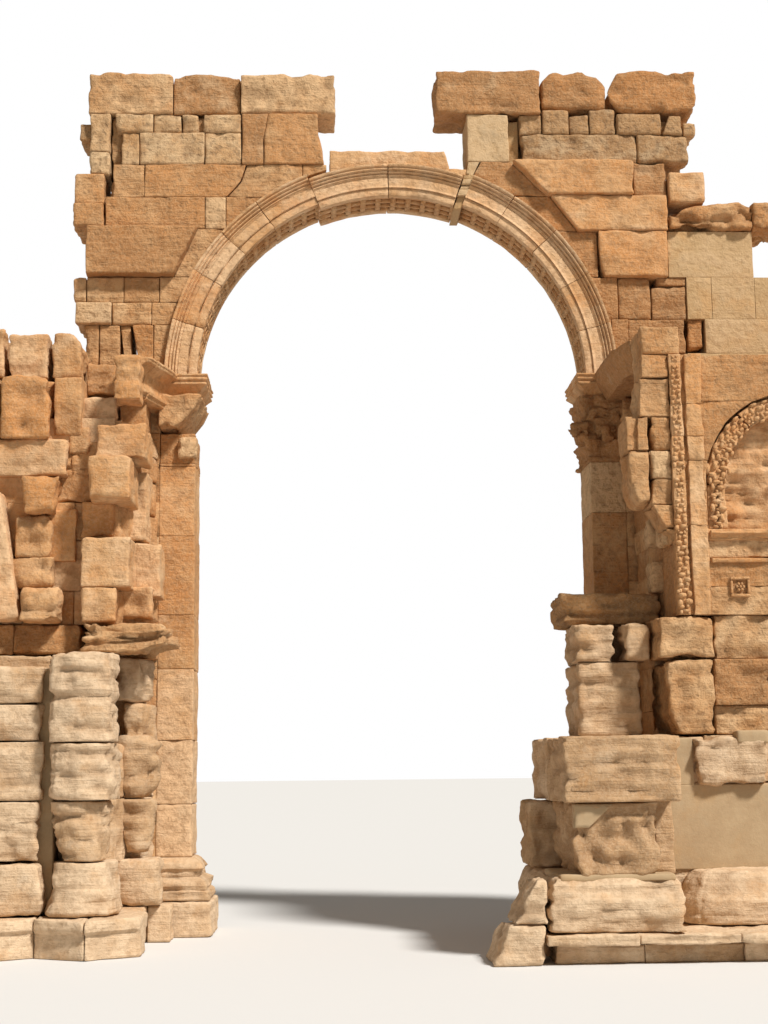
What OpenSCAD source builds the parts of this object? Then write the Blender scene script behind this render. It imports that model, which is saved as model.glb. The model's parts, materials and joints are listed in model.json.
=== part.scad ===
// Ruined triumphal arch in limestone: a moulded ring of wedge stones in a thin rear wall,
// between two piers that stand forward of it. Millimetres, +Z up, +Y away from the front.
// The origin is at street level, midway between the outer ends and the front and back.

/* [Passage and ring] */
// Clear width of the central passage between the jambs
span = 6920; // [6000:20:7600]
// Height of the springing above the street
springing = 9560; // [9300:20:10200]
// Thickness of the rear wall and of the ring that it holds
wall_t = 970; // [800:10:1200]
// Width of the moulded face of the ring, from intrados to extrados
ring_face = 560; // [440:10:640]
// Width of the inner flat band of the ring
inner_band = 140; // [120:5:200]
// Width of the outer flat band of the ring
outer_band = 200; // [120:5:230]
// Step from one flat band to the next
band_step = 28; // [10:1:40]
// How far the outer moulding of the ring stands out of the wall
ring_moulding = 120; // [80:5:150]
// Fall of the slipped crown stones below the true circle
slip = 90; // [20:5:120]
// Width of the open joint beside the slipped stones, packed with small blocks
open_joint = 200; // [120:10:240]

/* [Piers] */
// How far the right pier stands forward of the rear wall
right_reach = 3200; // [2900:20:3500]
// How far the foot of the left pier stands forward of the rear wall
left_reach = 2030; // [1850:10:2200]
// How far the upper part of the left pier stands forward
left_upper_reach = 1600; // [1400:20:1800]
// Set-back of the right pier's passage side from the edge of its jamb
right_setback = 340; // [280:10:400]
// Set-back of the right pier's upper part behind the front stones left on its corner
right_recess = 400; // [340:10:460]
// Width of the right pier
pier_w = 4780; // [4500:20:5000]
// Angle by which the left pier's passage side opens towards the front
splay = 16.2; // [14:0.2:18]
// Width of the flat jamb pilasters
jamb_w = 620; // [560:10:680]
// How far the jamb pilasters stand out of the rear wall
jamb_out = 60; // [40:5:90]

/* [Plinths and bases] */
// Height of the left plinth and of the plinth under the left jamb
plinth_h = 580; // [500:10:640]
// Height of the low plinth under the right pier
right_plinth_h = 420; // [360:10:480]
// Thickness of the slab that tops the right plinth at the front
slab_t = 170; // [120:10:220]
// How far the right plinth stands out at the front
plinth_out = 1800; // [1700:10:1950]
// How far the plinths stand out at the back
plinth_back = 300; // [260:5:360]
// How far the plinths stand out at the outer ends
plinth_edge = 120; // [60:5:180]
// Height of the moulded bases above the left plinth
base_h = 700; // [620:10:780]
// How far the jamb bases stand out into the passage
base_out = 340; // [260:10:380]

/* [Impost and capitals] */
// Height of the impost under the springing
impost_h = 380; // [300:5:440]
// How far the impost and the capitals stand out
impost_out = 225; // [180:5:300]
// Height of the leafed capitals under the imposts
capital_h = 1180; // [1000:10:1300]
// How far the mouldings stand out at the back
back_out = 100; // [60:5:240]

/* [Niche] */
// Width of the arched niche in the right pier
niche_w = 2900; // [2600:20:3000]
// Height of the niche's sill
niche_sill = 6320; // [6200:10:6400]
// Height of the niche's springing above its sill
niche_jamb = 730; // [600:10:800]
// Depth of the niche
niche_depth = 420; // [300:10:600]

/* [Columns] */
// Diameter of the half-columns that stand before the left pier
column_d = 1100; // [1000:10:1140]
// Top of the half-column stump
stump_top = 4540; // [4300:20:4700]
// Diameter of the smaller shaft in the corner by the left jamb
small_shaft_d = 800; // [700:10:840]
// Width of the column pedestal before the right pier
pedestal_w = 1680; // [1500:10:1760]
// Width of the pedestal's die under its cap
die_w = 1300; // [1150:10:1400]
// Top of the column pedestal
pedestal_top = 3150; // [3050:10:3250]
// Underside of the pedestal's cap
cap_bottom = 2200; // [2100:10:2300]

/* [Fit] */
// Open joint between neighbouring stones
joint = 0.5; // [0.2:0.1:0.8]

/* [Hidden] */
$fn = 96;

ring_in = span / 2;
ring_out = ring_in + ring_face;
moulding_w = ring_face - inner_band - outer_band;
side_x = ring_in + jamb_w;
pier_side = ring_in + right_setback;
outer_x = pier_side + pier_w;
return_x = pier_side + right_recess;
half_gap = joint / 2;

depth_total = plinth_out + right_reach + wall_t + plinth_back;
wall_front = depth_total / 2 - plinth_back - wall_t;
wall_back = wall_front + wall_t;
pier_back = wall_front - jamb_out;
right_front = wall_front - right_reach;
right_plinth_front = right_front - plinth_out;
plinth_rear = wall_back + plinth_back;

base_top = plinth_h + base_h;
capital_top = springing - impost_h;
capital_bottom = capital_top - capital_h;

// The left pier: its middle, its columns and its levels
left_x = -(side_x + outer_x) / 2;
left_front = wall_front - left_reach;
left_upper_front = wall_front - left_upper_reach;
left_ledge = stump_top + 510;
left_shoulder = springing - 1100;
left_row_top = springing - 410;
column_x = left_x + 1410;
column_y = left_front - 0.51 * column_d;
small_shaft_x = -side_x - 170;
small_shaft_y = wall_front - 1000;

// The right pier: its levels, its niche and the foot of its column pedestal
right_top = springing - 450;
niche_x = (pier_side + outer_x) / 2;
niche_r = niche_w / 2;
niche_spring = niche_sill + niche_jamb;
niche_wall = 180;
strip_bottom = 4980;
die_bottom = 1170;
pedestal_front = right_plinth_front + 200;
pedestal_back = wall_front - 1300;
blocks_front = wall_front - 2600;

// Angles of the joints of the ring, from the right-hand springing
left_joints = [180, 165, 151, 139, 127, 112];
crown_joints = [112, 91, 72];
gap_angle = open_joint / ring_in * 180 / PI;
right_joints = [72 - gap_angle, 56, 42, 28, 14, 0];
joint_angle = joint / ring_in * 180 / PI;
slip_shift = slip * sin(crown_joints[0] - crown_joints[2]);
packing_inset = 60;
packing_h = 145;
packing_radii = [for (i = [0 : 2]) ring_in + 110 + i * packing_h];

// Levels of the courses over the springing, as shares of the ring's outer radius
left_rises = [0, 0.239, 0.341, 0.458, 0.682, 0.831, 0.985, 1.137, 1.226, 1.428];
right_rises = [0, 0.107, 0.264, 0.458, 0.672, 0.838, 1.0025, 1.137, 1.229, 1.453];

honey = [0.80, 0.60, 0.36];
ochre = [0.76, 0.53, 0.29];
cream = [0.86, 0.74, 0.54];
brown = [0.62, 0.45, 0.28];
fresh = [0.87, 0.76, 0.55];

// The heights between two courses, and a plane in front of the rear wall
function level(share) = springing + share * ring_out;
function left_course(i, n = 1) = [level(left_rises[i]), level(left_rises[i + n])];
function right_course(i, n = 1) = [level(right_rises[i]), level(right_rises[i + n])];
function forward(reach) = wall_front - reach;
function in_wall(proud = 0) = [wall_front - proud, wall_back];

// One squared stone between two corners, drawn back by the joint from its neighbours
module stone(x, y, z) {
  translate([x[0] + half_gap, y[0] + half_gap, z[0]])
    cube([x[1] - x[0] - joint, y[1] - y[0] - joint, z[1] - z[0] - joint]);
}

// One stone with its edges worn off, seen from the front
module worn_stone(x, y, z, wear = 40) {
  x0 = x[0] + half_gap;
  x1 = x[1] - half_gap;
  z1 = z[1] - joint;
  translate([0, y[1] - half_gap, 0])
    rotate([90, 0, 0])
      linear_extrude(y[1] - y[0] - joint)
        polygon([
          [x0 + wear, z[0]], [x1 - wear, z[0]], [x1, z[0] + wear * 0.7],
          [x1, z1 - wear], [x1 - wear * 1.2, z1], [x0 + wear * 0.8, z1],
          [x0, z1 - wear * 0.6], [x0, z[0] + wear]
        ]);
}

// One stone whose ends lean, with its own corners below and above
module leaning_stone(bottom, top, y, z) {
  translate([0, y[1] - half_gap, 0])
    rotate([90, 0, 0])
      linear_extrude(y[1] - y[0] - joint)
        polygon([
          [bottom[0] + half_gap, z[0]], [bottom[1] - half_gap, z[0]],
          [top[1] - half_gap, z[1] - joint], [top[0] + half_gap, z[1] - joint]
        ]);
}

// A row of stones between the listed joints
module course(joints, y, z) {
  for (i = [0 : len(joints) - 2])
    stone([joints[i], joints[i + 1]], y, z);
}

// A solid that stands up on an outline seen from above
module upright(outline, z) {
  translate([0, 0, z[0]])
    linear_extrude(z[1] - z[0] - joint)
      polygon(outline);
}

// Mirrors its children to the left of the passage
module left_side() {
  mirror([1, 0, 0]) children();
}

// A moulded block: its passage side, front and back follow one profile, mitred at the corners.
// The profile lists pairs of shares, how far out and how far up.
module moulded(x, y, z, profile, side, front, back) {
  z1 = z[1] - joint;
  rise = z1 - z[0];
  far = y[1] + back + joint;
  intersection() {
    translate([0, far, 0])
      rotate([90, 0, 0])
        linear_extrude(far - y[0] + front + joint)
          polygon([
            [x[1] - half_gap, z1], [x[1] - half_gap, z[0]],
            for (p = profile) [x[0] + half_gap - side * p[0], z[0] + rise * p[1]]
          ]);
    translate([x[0] - side - joint, 0, 0])
      rotate([90, 0, 90])
        linear_extrude(x[1] - x[0] + side + joint * 2)
          polygon([
            for (p = reversed(profile)) [y[1] + back * p[0], z[0] + rise * p[1]],
            for (p = profile) [y[0] - front * p[0], z[0] + rise * p[1]]
          ]);
  }
}

function reversed(list) = [for (i = [len(list) - 1 : -1 : 0]) list[i]];

// The room that the ring takes out of the masonry behind it
module ring_room() {
  translate([0, wall_front - ring_moulding * 3, springing])
    rotate([-90, 0, 0])
      cylinder(r = ring_out + joint, h = wall_t + ring_moulding * 6, $fn = 360);
}

// Section of the ring: two flat bands and a hollow moulding, alike on both faces
function face_profile(sign, face) = [
  [ring_in, face],
  [ring_in + inner_band, face],
  [ring_in + inner_band, face + sign * band_step],
  [ring_in + inner_band + outer_band, face + sign * band_step],
  [ring_in + inner_band + outer_band, face + sign * band_step * 2],
  for (i = [0 : 5])
    [
      ring_out - moulding_w * 0.15 - moulding_w * 0.85 * cos(i * 18),
      face + sign * (band_step * 2 + (ring_moulding - band_step * 2) * (1 - cos(i * 18)))
    ],
  [ring_out, face + sign * ring_moulding]
];

// One wedge stone of the ring, between two angles
module voussoir(from_angle, to_angle) {
  translate([0, 0, springing])
    rotate([90, 0, 0])
      rotate([0, 0, from_angle + joint_angle / 2])
        rotate_extrude(angle = to_angle - from_angle - joint_angle, $fn = 360)
          polygon(concat(
            face_profile(1, -wall_front),
            reversed(face_profile(-1, -wall_back))
          ));
}

module arch_ring_left() {
  color(honey)
    for (i = [0 : len(left_joints) - 2])
      voussoir(left_joints[i + 1], left_joints[i]);
}

module arch_ring_right() {
  color(honey)
    for (i = [0 : len(right_joints) - 2])
      voussoir(right_joints[i + 1], right_joints[i]);
}

// Slides its children down along the joint at the left of the crown
module slipped() {
  translate([-slip * cos(crown_joints[0]), 0, -slip * sin(crown_joints[0])]) children();
}

module slipped_crown_stones() {
  color(honey)
    slipped()
      for (i = [0 : len(crown_joints) - 2])
        voussoir(crown_joints[i + 1], crown_joints[i]);
}

// Small pale blocks wedged one over another in what is left of the open joint
module joint_packing() {
  from_angle = right_joints[0] + joint_angle / 2;
  color(fresh) {
    translate([0, 0, springing])
      rotate([90, 0, 0])
        rotate([0, 0, from_angle])
          for (r = packing_radii)
            rotate_extrude(angle = gap_angle - (slip_shift + joint) / r * 180 / PI, $fn = 360)
              translate([r, -wall_back + packing_inset])
                square([packing_h - joint, wall_t - 2 * packing_inset]);
    difference() {
      stone(ring_out * [0.341, 0.420], in_wall(), [level(0.88), level(right_rises[6])]);
      ring_room();
    }
  }
}

module crown_slab() {
  color(honey)
    slipped()
      difference() {
        worn_stone(ring_out * [-0.279, 0.254], in_wall(), [level(0.861), level(1.07)], 90);
        ring_room();
      }
}

module spandrel_left() {
  color(ochre)
    difference() {
      union() {
        course(ring_out * [-1.358, -1.290, -1.199, -1.050, -0.600], in_wall(), left_course(0));
        course(ring_out * [-1.395, -1.236, -1.060, -0.600], in_wall(), left_course(1));
        course(ring_out * [-1.409, -1.184, -1.052, -0.600], in_wall(), left_course(2));
        leaning_stone(ring_out * [-0.963, -0.5], ring_out * [-0.861, -0.5], in_wall(),
          left_course(3));
        course(ring_out * [-1.272, -0.829, -0.400], in_wall(), left_course(4));
        course(ring_out * [-1.244, -1.100, -0.670, -0.284], in_wall(), left_course(5));
      }
      ring_room();
    }
}

module spandrel_right() {
  color(ochre)
    difference() {
      union() {
        course(ring_out * [0.600, 1.057, 1.318], in_wall(), right_course(0));
        course(ring_out * [0.600, 1.057, 1.323, 1.402], in_wall(), right_course(1));
        course(ring_out * [0.600, 1.015, 1.168, 1.326], in_wall(), right_course(2));
        stone(ring_out * [0.500, 0.930], in_wall(), right_course(3));
        leaning_stone(ring_out * [0.400, 0.840], ring_out * [0.400, 0.720], in_wall(),
          right_course(4));
        leaning_stone(ring_out * [0.420, 0.709], ring_out * [0.420, 0.546], in_wall(),
          right_course(5));
        stone(ring_out * [1.106, 1.257], in_wall(), right_course(5));
      }
      ring_room();
    }
}

module upper_courses_left() {
  color(brown) {
    stone(ring_out * [-1.350, -1.256], in_wall(), [level(0.935), level(left_rises[8])]);
    course(ring_out * [-1.208, -1.126, -0.833, -0.668], in_wall(), left_course(6));
    course(ring_out * [-1.236, -1.065, -0.937, -0.860, -0.668], in_wall(), left_course(7));
  }
}

module upper_courses_right() {
  color(ochre) {
    course(ring_out * [0.592, 1.127, 1.371], in_wall(), right_course(6));
    course(ring_out * [0.592, 0.702, 0.824, 0.914, 1.042, 1.242, 1.347, 1.408], in_wall(),
      right_course(7));
  }
}

module top_stones_left() {
  color(ochre) {
    worn_stone(ring_out * [-1.360, -0.977], in_wall(), left_course(8), 60);
    worn_stone(ring_out * [-0.977, -0.672], in_wall(-60), left_course(8), 70);
    worn_stone(ring_out * [-0.672, -0.242], in_wall(30), left_course(8), 60);
  }
}

module top_stones_right() {
  color(honey) {
    worn_stone(ring_out * [0.211, 0.695], in_wall(40), right_course(8), 50);
    worn_stone(ring_out * [0.695, 0.999], in_wall(-40), right_course(8), 110);
    worn_stone(ring_out * [0.999, 1.411], in_wall(20), right_course(8), 80);
  }
}

module corner_block_left() {
  color(ochre)
    leaning_stone(ring_out * [-0.666, -0.292], ring_out * [-0.666, -0.320], in_wall(40),
      left_course(6, 2));
}

module corner_post_right() {
  color(fresh)
    worn_stone(ring_out * [0.352, 0.546], in_wall(), right_course(6, 2), 30);
}

module projecting_stones_left() {
  color(ochre) {
    difference() {
      leaning_stone(ring_out * [-1.351, -0.963], ring_out * [-1.351, -0.861], in_wall(200),
        left_course(3));
      ring_room();
    }
    worn_stone(ring_out * [-1.416, -1.276], in_wall(120),
      [level(left_rises[4]), level(0.794)], 40);
    worn_stone(ring_out * [-1.411, -1.276], in_wall(60), [level(0.794), level(0.935)], 30);
  }
}

module projecting_stones_right() {
  color(honey) {
    leaning_stone(ring_out * [0.709, 1.103], ring_out * [0.546, 1.103], in_wall(180),
      right_course(5));
    leaning_stone(ring_out * [0.840, 1.253], ring_out * [0.720, 1.253], in_wall(120),
      right_course(4));
    stone(ring_out * [0.933, 1.245], in_wall(100), right_course(3));
    worn_stone(ring_out * [1.260, 1.427], in_wall(100), [level(0.805), level(0.950)], 50);
  }
}

module broken_cornice_right() {
  color(ochre)
    course(ring_out * [1.257, 1.634, 1.780], in_wall(160),
      [level(right_rises[4]), level(0.805)]);
}

module restored_ashlar_right() {
  color(fresh) {
    course(concat(ring_out * [1.318, 1.720], [outer_x]), in_wall(), right_course(0));
    course(ring_out * [1.402, 1.720, 2.050], in_wall(), right_course(1));
    course(ring_out * [1.326, 1.439, 1.860], in_wall(), right_course(2));
    stone(ring_out * [1.249, 1.635], in_wall(), right_course(3));
  }
}

// Profiles of the mouldings: how far out and how far up, both as shares
impost_profile = [
  [0.28, 0], [0.34, 0.14], [0.62, 0.34], [0.92, 0.52], [1, 0.56], [1, 0.72], [0.90, 0.74],
  [0.90, 0.86], [0.78, 0.88], [0.78, 1]
];
capital_profile = [
  [0.20, 0], [0.40, 0.02], [0.40, 0.06], [0.20, 0.08], [0.40, 0.20], [1, 0.30], [1.55, 0.37],
  [1.60, 0.48], [1.15, 0.58], [0.60, 0.66], [0.50, 0.78], [0.72, 0.85], [0.72, 0.92],
  [0.80, 0.94], [0.80, 1]
];
base_profile = [
  [1, 0], [1, 0.20], [0.86, 0.24], [0.94, 0.34], [0.86, 0.46], [0.52, 0.54],
  [0.46, 0.66], [0.62, 0.74], [0.50, 0.86], [0.08, 1]
];
cornice_profile = [
  [0, 0], [0.20, 0], [0.20, 0.12], [0.34, 0.16], [0.50, 0.34], [0.62, 0.38], [0.62, 0.50],
  [0.70, 0.52], [0.94, 0.72], [1, 0.76], [1, 1], [0, 1]
];

// The span of a jamb from its front to its back
jamb_y = [wall_front - jamb_out, wall_back + jamb_out];

// The room that the right pier takes in front of the jamb
module right_pier_room() {
  translate([pier_side, right_front, 0])
    cube([jamb_w, right_reach - jamb_out + half_gap, springing]);
}

module impost() {
  moulded([ring_in, side_x], jamb_y, [capital_top, springing], impost_profile,
    impost_out, impost_out, back_out);
}

module impost_left() {
  color(honey) left_side() impost();
}

module impost_right() {
  color(honey) impost();
}

// The impost runs on along the splayed side of the left pier, to a broken end
return_drop = 300;
return_out = 380;
return_reach = 1500;

module impost_return_left() {
  z = [capital_top - return_drop, springing];
  color(honey) {
    difference() {
      translate([-side_x, pier_back, z[0]])
        rotate([0, 0, -splay])
          rotate([90, 0, 0])
            linear_extrude(return_reach)
              polygon([for (p = cornice_profile)
                [return_out * p[0] + (p[0] == 0 ? -200 : 0), (z[1] - z[0] - joint) * p[1]]]);
      translate([-outer_x, pier_back - impost_out - joint, z[0] - joint])
        cube([outer_x, wall_t, z[1] - z[0] + joint]);
    }
    worn_stone([-side_x - 560, -side_x - 130], [forward(2065), forward(1450)],
      [z[0] - 190, z[1] - 150], 70);
  }
}

module capital_left() {
  block_bottom = capital_top - 640;
  color(ochre) {
    left_side() {
      stone([ring_in, side_x], jamb_y, [capital_bottom, block_bottom]);
      worn_stone([ring_in - 60, ring_in + 320], [forward(230), wall_back],
        [capital_bottom + 60, block_bottom - 110], 60);
    }
    left_side()
      worn_stone([ring_in - 110, side_x], [forward(420), wall_back + jamb_out + back_out],
        [block_bottom, capital_top], 60);
  }
}

module capital_right() {
  color(ochre)
    moulded([ring_in, side_x], jamb_y, [capital_bottom, capital_top], capital_profile,
      impost_out, impost_out, back_out);
}

module jamb(bottom) {
  stone([ring_in, side_x], jamb_y, [bottom, capital_bottom]);
}

module jamb_left() {
  color(ochre) left_side() jamb(base_top);
}

module jamb_right() {
  color(ochre) jamb(base_top);
}

module jamb_base(bottom) {
  moulded([ring_in, side_x], jamb_y, [bottom, base_top], base_profile,
    base_out, base_out, back_out);
}

module jamb_base_left() {
  color(cream) left_side() jamb_base(plinth_h);
}

module jamb_base_right() {
  color(cream)
    difference() {
      jamb_base(right_plinth_h);
      right_pier_room();
    }
}

// Bed joints worn open on the back of a rear wall
module bed_joints(x, z, count) {
  groove = 36;
  for (i = [1 : count - 1])
    translate([min(x) - joint, wall_back - groove, z[0] + (z[1] - z[0]) * i / count - groove / 2])
      cube([abs(x[1] - x[0]) + joint * 2, groove * 2, groove]);
}

// The rear wall beside each jamb; on the left its outer part has lost its top courses
module rear_wall_left() {
  break_x = -ring_out * 1.360;
  color(ochre)
    difference() {
      union() {
        stone([break_x, -side_x], [pier_back, wall_back], [plinth_h, springing]);
        stone([-outer_x, break_x], [pier_back, wall_back], [plinth_h, left_row_top]);
      }
      bed_joints([-outer_x, -side_x], [plinth_h, springing], 8);
    }
}

module rear_wall_right() {
  color(ochre)
    difference() {
      stone([side_x, outer_x], [pier_back, wall_back], [right_plinth_h, springing]);
      bed_joints([side_x, outer_x], [right_plinth_h, springing], 8);
    }
}

// Outline of the left pier from above, with its splayed passage side
function left_outline(reach, gap = half_gap) = [
  [-side_x - gap, pier_back - gap],
  [-side_x - gap - (reach - jamb_out) * tan(splay), wall_front - reach + gap],
  [-outer_x + half_gap, wall_front - reach + gap],
  [-outer_x + half_gap, pier_back - gap]
];

module pier_left_lower() {
  pilaster_w = 1660;
  blocks = [[40, base_top + 100, 2280], [0, 2280, 3170], [20, 3170, 4330]];
  color(cream) {
    difference() {
      upright(left_outline(left_reach), [plinth_h, stump_top]);
      upright([
        [-side_x + 200, left_front - 200], [-side_x - 860, left_front - 200],
        [-side_x - 700, wall_front - 620], [-side_x + 200, wall_front - 620]
      ], [3300, stump_top + joint * 2]);
    }
    for (b = blocks)
      worn_stone([left_x - pilaster_w / 2 + b[0], left_x + pilaster_w / 2 - b[0]],
        [left_front - 720 + b[0], left_front], [b[1], b[2]], 50);
    stone([left_x - pilaster_w / 2, left_x + pilaster_w / 2], [left_front - 900, left_front],
      [plinth_h, base_top + 100]);
  }
}

// The stones that stand out of the left pier's broken face: from the jamb, heights, reach
left_stones = [
  [1020, 420, left_ledge, 5600, 2150], [1040, 270, 5600, 6400, 2100],
  [920, 220, 6970, 7700, 2400], [850, 20, 7700, 8300, 2000],
  [2000, 1370, 6820, 7440, 2100], [2820, 1280, 7440, 8050, 1900],
  [2310, 1400, 5730, 6820, 1950], [1860, 1300, left_ledge, 5730, 2200]
];

module pier_left_upper() {
  low = [left_shoulder, left_row_top];
  inner_x = -side_x - 1130;
  row = [-outer_x, -side_x - 3200, -side_x - 2520, -side_x - 1580];
  color(ochre) {
    difference() {
      upright(left_outline(left_upper_reach), [left_ledge, left_shoulder]);
      translate([-side_x - 1290, left_upper_front - 200, left_ledge - joint])
        cube([320, 1000, 850]);
    }
    for (s = left_stones)
      worn_stone([-side_x - s[0], -side_x - s[1]], [forward(s[4]), left_upper_front],
        [s[2], s[3]], 45);
    stone([row[0], row[3]], [left_upper_front - 350, pier_back], low);
    stone([row[3], inner_x], [left_upper_front, pier_back], low);
    stone([inner_x, -side_x - 560], [forward(1200), pier_back], [left_shoulder, springing - 20]);
    stone([-side_x - 560, -side_x - 120], [forward(1250), pier_back],
      [left_shoulder, capital_top - return_drop]);
    worn_stone([row[0], row[1]], [left_upper_front, wall_back], [low[1], springing + 420], 70);
    worn_stone([row[1], row[2]], [left_upper_front, wall_back], [low[1], springing + 450], 60);
    worn_stone([row[2] + 60, -side_x - 1690], [left_upper_front, pier_back],
      [low[1], springing + 350], 60);
    worn_stone([-side_x - 1690, inner_x], [left_upper_front, pier_back],
      [low[1], springing + 400], 60);
  }
}

// A course along the left pier, and its broken slab over the corner by the jamb
module ledge_left() {
  slab_x = -side_x - 1010;
  color(cream) {
    upright([
      [slab_x + half_gap, pier_back - half_gap], [slab_x + half_gap, left_front - 320],
      [-side_x - 320, left_front - 370], [-side_x + 380, wall_front - 900],
      [-side_x + 340, wall_front - 300], [-side_x + 60, pier_back - half_gap]
    ], [stump_top, left_ledge]);
    stone([-outer_x, slab_x], [left_front + 250, pier_back], [stump_top, left_ledge]);
  }
}

// A round solid before the plane of the left pier's foot
module front_round(x, y, profile) {
  difference() {
    translate([x, y, 0])
      rotate_extrude()
        polygon([for (p = profile) [p[0], p[1]]]);
    translate([x - column_d, left_front - half_gap, 0])
      cube([column_d * 2, column_d, springing]);
  }
}

// One drum of a shaft, worn narrower at its foot
module drum(x, y, foot, head, z) {
  front_round(x, y, [[0, z[0]], [foot, z[0]], [head, z[0] + (z[1] - z[0]) * 0.4],
    [head, z[1] - joint], [0, z[1] - joint]]);
}

module half_column() {
  r = column_d / 2;
  foot = base_top + 100;
  color(cream) {
    drum(column_x, column_y, r * 0.96, r, [3140, stump_top]);
    drum(column_x + 30, column_y, r * 0.9, r * 0.95, [2280, 3140]);
    drum(column_x + 10, column_y, r * 0.72, r * 0.9, [foot, 2280]);
    drum(left_x * 2 - column_x, column_y, r * 0.9, r * 0.96, [foot, 2280]);
    drum(left_x * 2 - column_x, column_y, r * 0.9, r * 0.94, [2280, 3140]);
    for (z = [[foot - 30, 2280, 0.78], [2280, 3300, 1]])
      difference() {
        translate([small_shaft_x, small_shaft_y, z[0]])
          cylinder(d = small_shaft_d * z[2], h = z[1] - z[0] - joint);
        upright(left_outline(left_reach, -half_gap), [plinth_h, stump_top]);
      }
  }
}

// Worn round bases: a swelling foot, a hollow and a smaller roll
module column_base() {
  r = column_d / 2;
  top = base_top + 100 - joint;
  step = (top - plinth_h) / 5;
  roll = [
    [0, plinth_h], [r * 1.06, plinth_h], [r * 1.08, plinth_h + step], [r * 0.98, plinth_h + step * 2],
    [r * 0.90, plinth_h + step * 3], [r * 0.94, plinth_h + step * 4], [r * 0.86, top], [0, top]
  ];
  color(cream) {
    front_round(column_x + 50, column_y, roll);
    front_round(left_x * 2 - column_x - 50, column_y, roll);
    difference() {
      translate([small_shaft_x, small_shaft_y, plinth_h])
        cylinder(d = small_shaft_d * 1.1, h = top - 30 - plinth_h);
      upright(left_outline(left_reach, -half_gap), [plinth_h - joint, stump_top]);
    }
  }
}

// The left plinth: a straight body, with a corner standing forward under each column
module plinth_left() {
  z = [0, plinth_h];
  corner_y = left_front - 1510;
  notch_y = left_front - 1040;
  width = outer_x + plinth_edge - side_x;
  bays = [
    [[-side_x, left_front], [-side_x + 130, left_front - 1000], [-side_x - 640, corner_y],
      [-side_x - 1450, notch_y], [-side_x - 1450, left_front]],
    [[-side_x - 1450 - joint, left_front], [-side_x - 1450 - joint, notch_y],
      [left_x, corner_y], [left_x * 2 + side_x + 1450, notch_y],
      [left_x * 2 + side_x + 1450, left_front]],
    [[left_x * 2 + side_x + 1450 - joint, left_front],
      [left_x * 2 + side_x + 1450 - joint, notch_y], [left_x * 2 + side_x + 640, corner_y],
      [-side_x - width, notch_y], [-side_x - width, left_front]]
  ];
  color(cream) {
    stone([-side_x - width, -side_x], [left_front, plinth_rear], z);
    for (b = bays)
      upright([for (p = b) [p[0], p[1] - half_gap]], z);
    stone([-side_x, -ring_in + base_out + 30], [pier_back - base_out - 30, plinth_rear], z);
    upright([
      [-side_x + half_gap, pier_back - base_out - 30 - half_gap],
      [-side_x + half_gap, wall_front - 1250],
      [-side_x + 380, wall_front - 950],
      [-side_x + 380, pier_back - base_out - 30 - half_gap]
    ], z);
  }
}

// The right plinth: a low footing under a thin slab that stands out over it
module plinth_right() {
  slab = [right_plinth_h - slab_t, right_plinth_h];
  left_edge = pier_side - 2000;
  right_edge = outer_x + plinth_edge;
  lap = 120;
  color(cream) {
    stone([left_edge + 150, right_edge - 150], [right_plinth_front + 250, right_front - lap],
      [0, slab[0]]);
    stone([left_edge, right_edge], [right_plinth_front, right_front - lap], slab);
    stone([left_edge, pier_side - lap], [right_front - lap, pedestal_back],
      [0, right_plinth_h]);
    stone([pier_side - lap, right_edge], [right_front - lap, plinth_rear],
      [0, right_plinth_h]);
    stone([ring_in - base_out - 30, pier_side - lap],
      [pier_back - base_out - 30, plinth_rear], [0, right_plinth_h]);
  }
}

// The foot of the right pier, with a proud worn stone and a round swelling base before it
module pier_right_lower() {
  base_x = pier_side + 1050;
  base_r = 900;
  h = pedestal_top - right_plinth_h;
  color(cream) {
    stone([pier_side, outer_x], [right_front, pier_back], [right_plinth_h, pedestal_top]);
    for (x = [pier_side + 490, niche_x * 2 - pier_side - 1690])
      worn_stone([x, x + 1200], [right_front - 220, right_front],
        [pedestal_top - 750, pedestal_top], 90);
    for (x = [base_x, niche_x * 2 - base_x])
      translate([x, right_front - half_gap, right_plinth_h])
        rotate([0, 0, 180])
          rotate_extrude(angle = 180)
            polygon([
              [0, 0], [base_r * 0.98, 0], [base_r, h * 0.06], [base_r * 0.92, h * 0.15],
              [base_r * 0.70, h * 0.24], [base_r * 0.40, h * 0.285], [0, h * 0.285]
            ]);
  }
}

module niche_room(grow) {
  translate([niche_x, 0, 0])
    rotate([90, 0, 0])
      translate([0, 0, -right_front - niche_depth - grow])
        linear_extrude(niche_depth * 2 + grow) {
          intersection() {
            translate([0, niche_spring]) circle(r = niche_r + grow);
            translate([-niche_w, niche_spring]) square(niche_w * 2);
          }
          translate([-niche_r - grow, niche_sill - grow])
            square([niche_w + 2 * grow, niche_jamb + grow]);
        }
}

// What is left of the impost along the right pier: a soffit that slopes up into the passage,
// broken back towards the front
module impost_return_right(z) {
  y = [right_front + corner_depth, pier_back];
  intersection() {
    translate([0, y[1] - half_gap, 0])
      rotate([90, 0, 0])
        linear_extrude(y[1] - y[0] - joint)
          polygon([
            [return_x - 630, z[1] - joint], [return_x - 630, z[1] - 170],
            [return_x - 420, z[0] - 30], [return_x - half_gap, z[0] - 50],
            [return_x - half_gap, z[0]], [return_x + 220, z[0]], [return_x + 220, z[1] - joint]
          ]);
    upright([
      [return_x - 420, y[0]], [return_x + 220 + joint, y[0]], [return_x + 220 + joint, y[1]],
      [return_x - 640, y[1]], [return_x - 640, y[0] + 630]
    ], [z[0] - 60, z[1] + joint * 2]);
  }
}

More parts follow.
